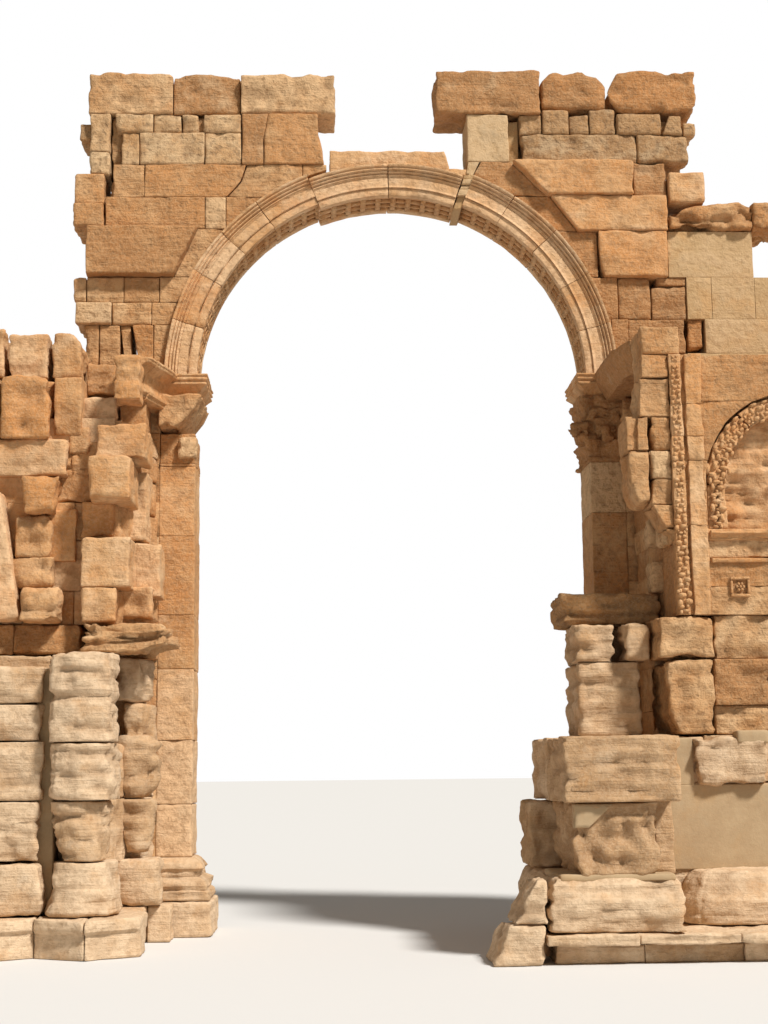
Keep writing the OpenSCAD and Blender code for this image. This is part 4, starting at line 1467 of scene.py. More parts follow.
        cornice = [
            s(5.053, 6.569, 12.261, 12.796, 1.705, warmth=0.7, edge=0.09, wear=2.4, bed=0.5, cell=0.045,
              top=[(5.0, 12.62), (5.6, 12.74), (6.3, 12.8), (6.57, 12.72)]),
            s(6.573, 7.156, 12.261, 12.796, 1.705, warmth=0.7, edge=0.1, wear=2.4, bed=0.5, cell=0.045),
        ]
        plain = {"edge": 0.01, "wear": 0.35, "bed": 0.0, "cell": 0.09}
        restored = [
            s(5.021, 6.569, *c[3], tone=0.3, **plain),
            s(6.573, 7.477, *c[2], tone=0.1, **plain),
            s(5.335, 5.783, *c[2], tone=0.1, warmth=0.2, **plain),
            s(5.787, 6.57, *c[2], tone=0.2, **plain),
            s(5.64, 6.912, *c[1], tone=0.5, **plain),
            s(6.916, 8.241, *c[1], tone=0.1, **plain),
            s(5.302, 6.912, *c[0], tone=-0.1, **plain),
            s(6.916, 8.578, *c[0], **plain),
        ]
        return [
            Masonry("spandrel_right_stones", OCHRE, "spandrel_right", spandrel, seed=21, shade=-1.1),
            Masonry("upper_courses_right_stones", BROWN, "upper_courses_right", courses,
                    dents=0.06, seed=22),
            Masonry("top_stones_right_stones", OCHRE, "top_stones_right", tops,
                    dents=0.07, seed=23, shade=-1.1),
            Masonry("corner_post_right_stone", FRESH, "corner_post_right", post, seed=24),
            Masonry("projecting_right_stones", HONEY, "projecting_stones_right", proud,
                    dents=0.04, seed=25),
            Masonry("broken_cornice_stones", OCHRE, "broken_cornice_right", cornice,
                    dents=0.1, seed=26),
            Masonry("restored_ashlar_stones", FRESH, "restored_ashlar_right", restored,
                    dents=0.01, grit=0.002, seed=27),
        ]

    def crown(self) -> list[Masonry]:
        """The slab on the crown and the small blocks in the open joint.

        Returns:
            Two pieces.
        """
        dx, dz = self.slip
        over = (dx, SPRINGING + dz, RING_BED)
        slab = [
            Stone(-1.1, [(1.12, 13.3), (1.1, 13.52), (1.01, 13.8)], 13.25, 13.8, clear=over, tone=0.4,
                  warmth=0.2, edge=0.03, wear=0.9, bed=0.6),
            Stone(1.08, 1.4, 13.25, 13.47, clear=over, tone=0.3, edge=0.03, wear=1.2),
        ]
        packing = [
            by_ring([(1.37, 13.3), (1.43, 13.58)], [(1.5, 13.3), (1.63, 13.58)], 13.25, 13.58, tone=0.9,
                    edge=0.012, wear=0.4),
        ]
        lean = math.radians(21.1)
        for low, high, half, front, tone in (
            (3.37, 3.6, 0.074, 1.9, -1.6), (3.61, 3.73, 0.085, 1.825, 1.0),
            (3.745, 3.81, 0.08, 1.835, 1.1), (3.825, 3.93, 0.09, 1.8, 1.0),
            (3.935, 4.02, 0.105, 1.82, -1.2),
        ):
            radius, tall = (low + high) / 2, (high - low) / 2
            x, z = radius * math.sin(lean), SPRINGING + radius * math.cos(lean)
            left, right = (
                [(x + side * half + math.tan(lean) * up, z + up) for up in (-tall, tall)]
                for side in (-1, 1)
            )
            packing.append(Stone(left, right, z - tall, z + tall, front, 2.8, tone=tone, edge=0.012,
                                 wear=0.4))
        return [
            Masonry("crown_slab_stone", HONEY, "crown_slab", slab, seed=31),
            Masonry("joint_packing_stones", FRESH, "joint_packing", packing, dents=0.01, seed=32),
        ]

    def pieces(self) -> list[Masonry]:
        """All stones of the wall."""
        return self.left() + self.right() + self.crown()


# Jambs and mouldings

IMPOST = (
    (0.28, 0.0), (0.32, 0.14), (0.46, 0.3), (0.76, 0.46), (0.9, 0.52), (0.9, 0.6),
    (0.82, 0.62), (0.82, 0.68), (0.96, 0.72), (0.96, 0.8), (0.9, 0.82), (0.9, 0.88),
    (1.0, 0.92), (1.0, 1.0),
)
CAPITAL = (
    (0.2, 0.0), (0.4, 0.02), (0.4, 0.06), (0.2, 0.08), (0.3, 0.2), (0.62, 0.32),
    (0.3, 0.36), (0.45, 0.56), (0.82, 0.64), (0.4, 0.68), (0.5, 0.78), (0.72, 0.85),
    (0.72, 0.92), (0.8, 0.94), (0.8, 1.0),
)
BASE = (
    (1.0, 0.0), (1.0, 0.2), (0.86, 0.24), (0.94, 0.34), (0.86, 0.46), (0.52, 0.54),
    (0.46, 0.66), (0.62, 0.74), (0.5, 0.86), (0.08, 1.0),
)
CORNICE = (
    (0.3, 0.0), (0.5, 0.03), (0.5, 0.1), (0.62, 0.14), (0.62, 0.22), (0.42, 0.26),
    (0.34, 0.45), (0.48, 0.68), (0.84, 0.84), (0.96, 0.86), (0.96, 0.92), (1.0, 0.94), (1.0, 1.0),
)


@dataclass
class Jambs:
    """Pilasters, bases, capitals and imposts under the ring, on both sides."""

    out: float = 0.225
    back_out: float = 0.1
    base_out: float = 0.34
    front: float = 1.805
    back: float = 2.895
    base_top: float = 1.28
    capital: Point = (8.0, 9.18)

    def _sided(self, side: int, inner: float, outer: float) -> Point:
        """A pair of ends from the passage outwards, as left and right for a side."""
        return (inner, outer) if side > 0 else (-outer, -inner)

    def _moulded(
        self, side: int, z: Point, profile: Sequence[Point], out: float, **style: float
    ) -> Stone:
        """A moulded block over the pilaster of one side.

        Args:
            side: 1 for the right, -1 for the left.
            z: Bottom and top.
            profile: Its section.
            out: How far it stands out.
            style: More fields of Stone.

        Returns:
            The block.
        """
        left, right = self._sided(side, RING_IN, SIDE_X)
        reach = (out if side > 0 else 0.0, 0.0 if side > 0 else out, out, self.back_out)
        return Stone(left, right, z[0], z[1], front=self.front, back=self.back, profile=profile,
                     reach=reach, **style)

    def pieces(self) -> list[Masonry]:
        """All parts of the two jambs.

        Returns:
            The pieces, left and right by turns, then the capitals and the impost's return.
        """
        made = []
        for side, name, levels, stone in (
            (-1, "left", (1.28, 2.15, 3.22, 4.42, 5.35, 6.72, 7.95, 8.0), HONEY),
            (1, "right", (1.28, 2.3, 3.4, 4.94, 6.05, 7.1, 8.0), OCHRE),
        ):
            left, right = self._sided(side, RING_IN, SIDE_X)
            shafts = [
                Stone(left, right, z0, z1, self.front, self.back, edge=0.02, wear=0.6,
                      tone=float(chance.normal(0.0, 0.25)) + 0.2, warmth=float(chance.normal(0.1, 0.3)))
                for z0, z1 in spans(levels)
            ]
            for shaft in shafts[:2]:
                shaft.tone, shaft.warmth, shaft.wear, shaft.edge = 1.2, -0.5, 1.2, 0.04
            made.append(Masonry(f"jamb_{name}_stones", stone, f"jamb_{name}", shafts, seed=41))
            base = self._moulded(side, (0.58 if side < 0 else 0.42, self.base_top), BASE,
                                 self.base_out, edge=0.05, wear=1.3, bed=1.0, tone=0.2)
            made.append(Masonry(f"jamb_base_{name}_stone", CREAM, f"jamb_base_{name}", [base],
                                dents=0.05, layers=0.05, seed=43 + side))
            impost = self._moulded(side, (9.18, SPRINGING), IMPOST, self.out, edge=0.018, wear=0.9,
                                   tone=0.1, warmth=0.3, cell=0.045)
            made.append(Masonry(f"impost_{name}_stone", HONEY, f"impost_{name}", [impost],
                                dents=0.025, seed=46 + side))
        volutes = [
            Stone(3.1, 3.5, 8.4, 8.72, 1.6, 2.15, edge=0.13, wear=2.6, tone=-0.6, cell=0.035),
            Stone(3.24, 3.6, 8.26, 8.52, 1.66, 2.05, edge=0.11, wear=2.6, tone=-0.6, cell=0.035),
            Stone(3.36, 4.05, 8.72, 8.98, 1.62, 2.2, edge=0.09, wear=2.4, tone=-0.5, cell=0.04),
            Stone(3.62, 3.98, 8.3, 8.66, 1.6, 2.0, edge=0.12, wear=2.6, tone=-0.6, cell=0.035),
        ]
        block = self._moulded(1, self.capital, CAPITAL, self.out, edge=0.04, wear=1.8, tone=-0.6,
                              cell=0.045)
        made.append(Masonry("capital_right_block", OCHRE, "capital_right", [block, *volutes],
                            dents=0.07, dent_size=0.3, grit=0.02, seed=48))
        broken = [
            Stone(-4.075, -3.46, 8.0, 8.54, self.front, self.back, edge=0.02, wear=0.9, tone=-0.2,
                  warmth=0.4),
            Stone(-3.77, -3.42, 8.06, 8.46, 1.66, 2.0, edge=0.09, wear=2.2, tone=0.6, cell=0.035),
            Stone(-4.075, [(-3.74, 8.58), (-3.55, 8.76), (-3.42, 8.94), (-3.3, 9.18)], 8.58, 9.18,
                  1.445, 3.0, edge=0.035, wear=1.4, tone=0.3, warmth=0.5, cell=0.045),
        ]
        made.append(Masonry("capital_left_remains", OCHRE, "capital_left", broken, dents=0.05, seed=49))
        reach = (0.0, 0.38, 0.0, 0.0)
        run = [
            Stone(-4.28, -4.08, 8.88, SPRINGING, 0.75, 1.8, profile=CORNICE, reach=reach,
                  splay_right=SPLAY, edge=0.01, wear=0.4, cell=0.04, warmth=0.3),
            Stone(-4.6, -4.08 - SPLAY * 1.055, 8.88, SPRINGING, 0.36, 0.745, profile=CORNICE,
                  reach=reach, splay_right=SPLAY, edge=0.02, wear=1.0, cell=0.04, warmth=0.2),
            Stone(-4.66, -4.2, 8.67, 9.43, -0.22, 0.415, edge=0.05, wear=2.0, bed=0.8, tone=-0.1,
                  warmth=0.6, cell=0.045),
        ]
        made.append(Masonry("impost_return_stones", HONEY, "impost_return_left", run,
                            dents=0.05, seed=50))
        return made


# The piers


@dataclass
class RearWalls:
    """The rear wall outside each jamb, in plain courses."""

    def pieces(self) -> list[Masonry]:
        """The wall at the left, with its top broken away, and the wall at the right.

        Returns:
            Two pieces.
        """
        y = (PIER_BACK, WALL_BACK)
        style = {"wear": 0.9, "edge": 0.018, "cell": 0.12}
        levels = list(np.linspace(0.58, 9.15, 15))
        left = bonded((-OUTER_X, -SIDE_X), y, levels, 1.15, **style)
        left += row([-5.467, -4.8, -SIDE_X], 9.15, 9.56, front=y[0], back=y[1])
        levels = [0.42, *np.linspace(0.98, 9.56, 15)]
        right = bonded((SIDE_X, OUTER_X), y, levels, 1.15, **style)
        return [
            Masonry("rear_wall_left_stones", OCHRE, "rear_wall_left", left, seed=51),
            Masonry("rear_wall_right_stones", OCHRE, "rear_wall_right", right, seed=52),
        ]


@dataclass
class LeftPier:
    """The left pier: a splayed body, stones left standing out, worn half-columns, a plinth."""

    lower: tuple[float, ...] = (0.58, 1.28, 2.28, 3.16, 3.82, 4.54)
    upper: tuple[float, ...] = (5.05, 5.6, 6.42, 7.05, 7.62, 8.06, 8.46)

    def pieces(self) -> list[Masonry]:
        """All parts of the left pier.

        Returns:
            Its seven pieces.
        """
        s = Stone
        body = bonded((-OUTER_X, -SIDE_X - JOINT), (LEFT_UPPER, PIER_BACK - JOINT), self.upper, 1.0, 2,
                      SPLAY, wear=1.6, edge=0.05, bed=0.4)
        head = [
            s(-8.58, -7.62, 8.46, 9.15, -0.085, 1.8, tone=0.1, warmth=0.7, wear=1.8, edge=0.07),
            s(-7.61, -6.5, 8.07, 9.12, -0.085, 1.8, tone=0.2, warmth=0.5, wear=1.8, edge=0.07),
            s(-6.48, -5.66, 8.05, 9.13, -0.135, 1.8, tone=-0.3, warmth=1.2, wear=2.4, edge=0.12),
            s(-5.65, -5.2, 8.16, 9.13, 0.12, 1.8, warmth=0.2, wear=1.4, edge=0.06),
            s(-5.2, -4.64, 8.93, 9.54, 0.66, 1.8, tone=-0.3, wear=2.0, edge=0.08),
            s(-5.24, -4.66, 8.42, 8.9, 0.45, 1.8, tone=0.7, warmth=-0.5, wear=1.6, edge=0.1),
            s(-4.66, -4.22, 8.3, 8.9, 0.86, 1.8, tone=-0.6, warmth=0.4, wear=0.8),
            s(-8.58, -7.3, 9.15, 9.98, 0.27, 2.83, tone=0.1, wear=1.6, edge=0.09, bed=0.6),
            s(-7.28, -6.5, 9.15, 10.01, 0.27, 2.83, tone=0.3, wear=1.6, edge=0.08, bed=0.6),
            s(-6.46, -5.78, 9.15, 9.92, 0.27, 1.8, tone=0.4, warmth=0.1, wear=1.6, edge=0.07, bed=0.8),
            s(-5.74, -5.22, 9.15, 9.96, 0.27, 1.8, tone=-0.1, warmth=-0.2, wear=1.8, edge=0.09, bed=0.6,
              top=[(-5.75, 9.96), (-5.4, 9.94), (-5.22, 9.8)]),
        ]
        proud = [
            s(-6.9, -5.38, 7.46, 8.06, -0.035, 0.6, tone=0.5, warmth=0.6, wear=1.1, edge=0.05, bed=0.7),
            s([(-6.02, 6.8), (-6.1, 7.44)], [(-5.55, 6.8), (-5.43, 7.44)], 6.8, 7.45, -0.235, 0.6,
              tone=-0.2, warmth=0.9, wear=2.2, edge=0.13),
            s(-5.7, -5.24, 6.08, 6.94, 0.16, 0.6, tone=-0.1, warmth=0.8, wear=0.8, bed=0.5),
            s(-5.4, -5.04, 7.86, 8.3, 0.18, 0.7, warmth=-0.2, wear=2.0, edge=0.09),
            s(-5.36, -5.06, 7.5, 7.84, 0.22, 0.7, tone=-0.3, warmth=-0.2, wear=2.0, edge=0.08),
            s(-6.2, -5.6, 6.1, 6.8, -0.06, 0.7, tone=-0.1, warmth=-0.3, wear=2.6, edge=0.14),
            s(-6.39, -5.52, 5.62, 6.12, -0.1, 0.7, tone=-0.1, warmth=-0.2, wear=2.6, edge=0.14,
              bed=0.8),
            s([(-7.1, 5.05), (-6.95, 7.2)], [(-6.06, 5.05), (-6.16, 5.75), (-6.42, 7.2)], 5.05, 7.2,
              -0.25, 0.6, tone=0.9, warmth=0.1, wear=1.2, edge=0.16, bed=0.2),
            s(-6.05, -5.4, 5.05, 5.62, -0.335, 0.7, tone=0.1, wear=2.4, edge=0.12, bed=1.0),
            s(-5.1, -4.52, 5.05, 5.6, -0.285, 0.7, tone=0.2, warmth=0.4, wear=1.6, edge=0.06, bed=0.6),
            s(-4.62, -4.02, 5.14, 5.68, 0.4, 1.4, tone=0.3, warmth=0.5, wear=1.8, edge=0.07, bed=0.6),
            s(-5.12, -4.32, 5.61, 6.42, -0.235, 0.7, tone=0.3, warmth=0.3, wear=1.0, edge=0.04),
            s(-4.62, -3.93, 5.55, 6.46, 0.75, 1.5, tone=0.3, warmth=0.1, wear=1.0, edge=0.04),
            s(-5.18, -4.62, 6.45, 7.05, 0.15, 0.9, tone=-0.1, warmth=0.8, wear=1.4, edge=0.05),
            s(-4.99, -4.3, 6.98, 7.69, -0.535, 0.7, tone=0.1, warmth=0.7, wear=0.9, edge=0.07, bed=0.2),
            s(-4.93, -4.1, 7.7, 8.3, -0.135, 1.0, tone=0.2, warmth=0.7, wear=1.4, edge=0.05, bed=0.7),
            s(-4.6, -4.15, 6.5, 7.65, 0.75, 1.5, tone=0.5, warmth=0.1, wear=1.4, edge=0.05),
        ]
        return [
            Masonry("pier_left_upper_stones", HONEY, "pier_left_upper",
                    body + head + proud, dents=0.055, layers=0.035, grit=0.014, seed=61),
            *self._foot(),
        ]

    def _foot(self) -> list[Masonry]:
        """The foot of the pier: body, blocks, half-columns, bases, ledge and plinth.

        Returns:
            Its six pieces.
        """
        s, y = Stone, (LEFT_Y, PIER_BACK - JOINT)
        style = {"wear": 1.3, "edge": 0.05, "bed": 0.8, "tone": 0.1}
        body = bonded((-OUTER_X, -SIDE_X - JOINT), y, self.lower[:4], 1.1, 2, SPLAY, **style)
        body += bonded((-OUTER_X, -5.05), y, self.lower[3:], 1.1, 2, 0.0, **style)
        body += [
            s(-5.05, -4.22, 3.16, 4.5, 1.05, 1.8, tone=-0.2, warmth=0.3, wear=1.2),
            s(-4.62, -4.02, 3.8, 4.53, 0.35, 1.2, splay_right=0.2, tone=0.3, wear=2.2, edge=0.16),
            s(-4.5, -3.98, 3.16, 3.8, 0.55, 1.4, splay_right=0.2, tone=0.1, warmth=0.6, wear=2.2,
              edge=0.14),
        ]
        half = 0.83
        for inset, z0, z1, wear in (
            (0.04, 1.38, 2.27, 1.9), (0.0, 2.28, 3.17, 1.4), (0.02, 3.18, 3.74, 1.4),
            (0.02, 3.75, 4.33, 1.6),
        ):
            body.append(
                s(-6.33 - half + inset, -6.33 + half - inset, z0, z1, LEFT_Y - 0.7, LEFT_Y + 0.1,
                  tone=float(chance.normal(0.3, 0.2)), warmth=0.1, wear=wear, edge=0.09, bed=1.0,
                  cell=0.05)
            )
        body.append(
            s(-6.33 - half, -6.33 + half, 0.58, 1.36, LEFT_Y - 0.9, LEFT_Y + 0.1, tone=0.5, wear=1.4,
              edge=0.12, bed=1.0, profile=((0.5, 0.0), (1.0, 0.25), (0.6, 0.6), (0.0, 1.0)),
              reach=(0.08, 0.08, 0.05, 0.0))
        )
        columns = []
        for x in (-4.92, -7.74):
            for left, right, z0, z1, round_off in (
                (-0.55, 0.52, 3.15, 4.53, 0.5), (-0.52, 0.57, 2.28, 3.14, 0.6),
            ):
                columns.append(
                    s(x + left, x + right, z0, z1, LEFT_Y - 1.1, LEFT_Y + 0.2, plump=round_off,
                      tone=float(chance.normal(0.6, 0.2)), warmth=-0.1, wear=1.3, edge=0.07, bed=1.3,
                      cell=0.042)
                )
            columns.append(
                s([(x - 0.3, 1.38), (x - 0.42, 1.7), (x - 0.54, 2.27)],
                  [(x + 0.4, 1.38), (x + 0.44, 1.7), (x + 0.46, 2.27)], 1.38, 2.27, LEFT_Y - 1.02,
                  LEFT_Y + 0.2, plump=0.6, tone=0.3, wear=1.8, edge=0.09, bed=1.4, cell=0.042)
            )
        columns += [
            s([(-4.44, 1.4), (-4.6, 2.0), (-4.62, 2.27)], [(-4.0, 1.4), (-3.93, 2.27)], 1.4, 2.27, 0.47,
              1.25, plump=0.7, tone=0.2, wear=2.0, edge=0.14, bed=1.0),
            s([(-4.5, 2.28), (-4.66, 2.7), (-4.66, 3.3)], [(-4.0, 2.28), (-3.86, 2.7), (-3.86, 3.3)],
              2.28, 3.3, 0.47, 1.25, plump=0.7, wear=2.2, edge=0.16, bed=1.2),
        ]
        bases = []
        swell = ((0.55, 0.0), (0.62, 0.1), (0.4, 0.28), (0.28, 0.5), (0.1, 0.72), (0.0, 1.0))
        for x in (-4.87, -7.79):
            bases.append(
                s(x - 0.48, x + 0.48, 0.58, 1.375, LEFT_Y - 1.02, LEFT_Y + 0.2, plump=0.55,
                  profile=swell, reach=(0.17, 0.17, 0.17, 0.0), tone=0.8, wear=1.4, edge=0.1, bed=0.8,
                  cell=0.05)
            )
        bases.append(
            s(-4.66, -3.82, 0.58, 1.34, 0.42, 1.3, plump=0.6, tone=0.5, wear=1.4, edge=0.13, bed=1.0)
        )
        slab = [
            s([(-5.1, 4.54), (-5.03, 4.72), (-5.06, 5.04)],
              [(-3.98, 4.54), (-3.56, 4.7), (-3.62, 5.04)], 4.54, 5.04, -0.5, 0.95, splay_right=0.08,
              tone=0.3, warmth=0.4, wear=2.2, edge=0.09, bed=1.6, cell=0.045),
            s(-4.98, -4.02, 4.54, 5.04, 0.955, 1.8, tone=0.1, warmth=0.5, wear=1.4),
        ]
        slab += row([-8.58, -7.4, -6.2, -5.1], 4.545, 5.045, front=LEFT_Y + 0.25, back=1.8,
                    wear=1.6, bed=1.0, edge=0.05)
        cement = [
            s(-5.66, -5.36, 0.6, 4.3, LEFT_Y - 0.5, LEFT_Y + 0.1, wear=0.6, edge=0.05, cell=0.1),
        ]
        return [
            Masonry("cement_left", CEMENT, "", cement, dents=0.03, seed=69),
            Masonry("pier_left_lower_stones", CREAM, "pier_left_lower", body,
                    dents=0.05, layers=0.035, grit=0.012, seed=62),
            Masonry("half_column_drums", CREAM, "half_column", columns, dents=0.05,
                    layers=0.05, grit=0.012, seed=63),
            Masonry("column_base_stones", CREAM, "column_base", bases, dents=0.05,
                    layers=0.035, grit=0.012, seed=64),
            Masonry("ledge_left_slab", OCHRE, "ledge_left", slab, dents=0.07,
                    layers=0.06, grit=0.014, seed=65),
            self._plinth(),
        ]

    def _plinth(self) -> Masonry:
        """The plinth, with a corner standing forward under each column.

        Returns:
            One piece.
        """
        style = {"wear": 1.2, "bed": 0.8, "edge": 0.06, "tone": 0.6}
        lip = ((0.0, 0.0), (0.0, 0.62), (1.0, 0.72), (0.9, 1.0))
        rows = [
            *bonded((-PLINTH_X, -SIDE_X), (LEFT_Y, BACK), (0.0, 0.58), 1.2, 3, 0.0, **style),
            Stone(-SIDE_X, -3.09, 0.0, 0.58, 1.435, BACK, **style),
            Stone(-SIDE_X, -3.7, 0.0, 0.58, 0.75, 1.43, **style),
        ]
        front, corner = LEFT_Y - 1.04, LEFT_Y - 1.51
        wedges = [
            (-5.53, -4.72, front, corner), (-4.72, -3.95, corner, LEFT_Y - 1.0),
            (-6.33, -5.53, corner, front), (-7.13, -6.33, front, corner),
            (-7.94, -7.13, corner, front), (-PLINTH_X, -7.94, front, corner),
        ]
        for left, right, y_left, y_right in wedges:
            rows.append(
                Stone(left + 0.002, right - 0.002, 0.0, 0.58, front=min(y_left, y_right),
                      back=LEFT_Y - JOINT, turned=(y_left, y_right), profile=lip,
                      reach=(0.0, 0.0, 0.07, 0.0), **style)
            )
        return Masonry("plinth_left_stones", CREAM, "plinth_left", rows, dents=0.04,
                       seed=66)


@dataclass
class Niche:
    """Where the niche of the right pier stands and how large its arch is."""

    x: float = 6.19
    radius: float = 1.45
    sill: float = 6.32
    springing: float = 7.05
    depth: float = 0.42
    band: float = 0.34

    def half(self, z: float) -> float:
        """Half the width of the opening at a height."""
        rise = max(z - self.springing, 0.0)
        return math.sqrt(max(self.radius**2 - rise**2, 0.0))


@dataclass
class RightPier:
    """The right pier: coursed body, carved strips, niche, panels and a worn foot."""

    niche: Niche = field(default_factory=Niche)
    strip: float = 4.305
    panel_z: float = 5.41
    panel_pitch: float = 0.67
    joints: tuple[float, ...] = (4.98, 6.37, 7.39, 7.78, 8.3, 9.11)
    levels: tuple[float, ...] = (3.15, 3.6, 4.31, 4.98, 5.42, 5.83, 6.32, 6.71, 7.57, 8.11,
                                 8.74, 9.11)

    def _corner(self) -> list[Stone]:
        """The corner beside the opening: broken stones, the grooved one, the impost's return.

        Returns:
            The stones.
        """
        s = Stone
        face = {"front": RIGHT_Y, "back": -0.54, "warmth": 0.3, "bed": 0.6}
        ends = [(3.78, 9.08), (3.57, 9.4), (3.57, 9.57)]
        return [
            s(3.78, 4.42, 9.115, 9.57, edge=0.04, wear=1.6, tone=0.1, **face),
            s(3.78, 4.21, 8.742, 9.108, edge=0.02, wear=1.2, tone=0.1, **face),
            s(3.72, 4.21, 8.112, 8.738, edge=0.03, wear=1.6, tone=0.2, **face),
            s(3.89, 4.21, 7.575, 8.105, edge=0.05, wear=1.8, **face),
            s([(3.9, 7.12), (3.87, 7.565)], 4.21, 7.12, 7.565, edge=0.1, wear=2.4, tone=1.0, **face),
            s([(3.88, 6.715), (3.9, 7.11)], 4.21, 6.715, 7.11, edge=0.06, wear=2.0, **face),
            s([(4.06, 6.33), (3.88, 6.705)], 4.21, 6.33, 6.705, edge=0.05, wear=1.8, **face),
            s([(4.15, 6.1), (4.05, 6.32)], 4.3, 6.1, 6.32, edge=0.05, wear=2.0, **face),
            s(3.505, 3.86, 7.575, 8.11, -1.275, -0.54, edge=0.04, wear=1.0),
            s(3.5, 3.62, 7.575, 8.11, RIGHT_Y, -1.1, edge=0.022, wear=1.2),
            s(3.68, 3.86, 7.575, 8.11, RIGHT_Y, -1.1, edge=0.022, wear=1.2),
            s([(3.66, 6.71), (3.54, 6.95), (3.5, 7.565)], 3.86, 6.71, 7.565, edge=0.1, wear=1.8,
              **face),
            s(RETURN_X, 4.6, 4.985, 6.09, RIGHT_Y + JOINT, -0.36, edge=0.07, wear=0.8, tone=-0.3,
              warmth=0.2),
            s(4.06, 4.6, 6.11, 6.46, -0.95, -0.42, edge=0.09, wear=2.2, tone=1.0),
            s(3.98, 4.6, 6.18, 6.7, -0.4, 0.05, edge=0.09, wear=2.2, tone=1.0),
            s(4.02, 4.6, 5.45, 5.98, -0.3, 0.25, edge=0.09, wear=2.2, tone=0.9),
            s(3.96, 4.4, 8.6, 9.06, 1.3, 1.795, edge=0.1, wear=2.2, tone=-0.2),
            s(ends, 4.27, 9.08, 9.57, -0.53, 0.095, splay_left=-0.33, edge=0.02, wear=0.6, tone=-0.5),
            s(ends, 4.27, 9.08, 9.57, 0.1, 0.95, edge=0.02, wear=0.6, tone=-0.6),
            s(ends, 4.27, 9.08, 9.57, 0.955, 1.8, edge=0.02, wear=0.6, tone=-0.4),
        ]

    def _front(self) -> list[Stone]:
        """Stones of the front face round the strips and the niche.

        Returns:
            The stones.
        """
        s, n = Stone, self.niche
        made = []
        deep = {"front": RIGHT_Y, "back": -0.2, "warmth": 0.3}
        for side in (-1, 1):
            outer = n.x + side * (n.radius + 0.03)
            levels = (6.32, 7.4, 8.35, 9.11) if side < 0 else (6.32, 7.0, 8.05, 9.11)
            for z0, z1 in spans(levels):
                curve = [(n.x + side * n.half(z), z) for z in np.linspace(z0, z1, 9)]
                left, right = (outer, curve) if side < 0 else (curve, outer)
                made.append(s(left, right, z0, z1, edge=0.016, wear=0.8, bed=0.3,
                              tone=float(chance.normal(0.1, 0.15)), cell=0.075, **deep))
        for z0, z1, front in ((4.98, 5.42, 0.0), (5.42, 5.83, 0.0), (5.86, 6.32, 0.05)):
            joints = (n.x - 1.48, n.x - 0.5, n.x + 0.6, n.x + 1.48)
            made += row(joints, z0, z1, front=RIGHT_Y + front, back=-0.2, wear=1.2, edge=0.018,
                        tone=0.2, warmth=0.3, cell=0.075)
        for z0, z1, joints in (
            (3.15, 3.6, (4.74, 5.9, 7.0, 8.58)), (3.6, 4.31, (4.74, 5.6, 6.6, 7.64, 8.58)),
            (4.31, 4.98, (4.74, 5.8, 6.9, 7.64, 8.58)),
        ):
            made += row(joints, z0, z1, front=RIGHT_Y + (0.06 if z0 < 3.5 else 0.02),
                        back=-0.2, wear=2.2, edge=0.05, bed=0.9, tone=0.15, warmth=0.0)
        made += [
            s(3.88, 4.73, 4.315, 4.975, RIGHT_Y - 0.06, -0.34, wear=1.8, bed=0.9, edge=0.05, tone=0.1),
            s([(4.1, 3.17), (4.0, 3.5), (3.97, 4.305)], 4.73, 3.17, 4.305, RIGHT_Y - 0.05, -0.04,
              wear=2.0, bed=0.8, edge=0.06, tone=0.1),
        ]
        for z0, z1 in spans(self.joints):
            for left, right in ((4.22, 4.74), (7.64, 8.18), (8.18, OUTER_X)):
                made.append(s(left, right, z0, z1, RIGHT_Y + 0.012, -0.2, wear=0.7, edge=0.012,
                              tone=-0.2, warmth=0.3, cell=0.09))
        return made

    def pieces(self) -> list[Masonry]:
        """All parts of the right pier.

        Returns:
            Its twelve pieces.
        """
        s, n = Stone, self.niche
        body = self._corner() + self._front()
        body += bonded((RETURN_X, OUTER_X), (-0.2, PIER_BACK - JOINT), self.levels, 1.2, 2,
                       wear=1.1, edge=0.02, bed=0.4, tone=-0.1, cell=0.08)
        back = [
            s(n.x - 1.6, n.x + 1.6, 6.2, 8.66, RIGHT_Y + 0.3, -0.35, edge=0.02, wear=2.6, cell=0.05,
              tone=0.2, warmth=0.4, bed=0.8),
        ]
        for side in (-1, 1):
            left, right = sorted((n.x + side * (n.radius - 0.03), n.x + side * (n.radius - n.band)))
            back.append(s(left, right, 6.33, n.springing, RIGHT_Y + 0.07, -0.9, edge=0.03, wear=1.4,
                          tone=0.1, warmth=0.3))
        lower = bonded((PIER_SIDE, OUTER_X), (RIGHT_Y, PIER_BACK - JOINT),
                       (0.42, 1.2, 1.85, 2.45, 3.15), 1.2, 3, wear=1.2, edge=0.04, bed=0.9,
                       tone=0.1)
        for x in (4.29, 6.89):
            lower.append(
                s([(x + 0.1, 2.4), (x, 2.8), (x + 0.02, 3.15)], x + 1.2, 2.38, 3.15, RIGHT_Y - 0.22,
                  RIGHT_Y + 0.3, wear=2.2, edge=0.1, bed=1.0, tone=0.5, warmth=-0.1)
            )
        for x in (4.85, 7.53):
            lower.append(
                s(x - 0.62, x + 0.62, 0.42, 1.2, RIGHT_Y - 0.62, RIGHT_Y + 0.5, plump=0.8,
                  profile=((0.9, 0.0), (1.0, 0.12), (0.8, 0.45), (0.45, 0.75), (0.0, 1.0)),
                  reach=(0.28, 0.28, 0.28, 0.0), wear=1.3, edge=0.1, bed=0.9, tone=0.7)
            )
        shell = [
            s(n.x - 1.55, n.x + 1.55, 6.14, 6.32, RIGHT_Y - 0.02, -0.35, edge=0.03, wear=1.6,
              warmth=0.4),
        ]
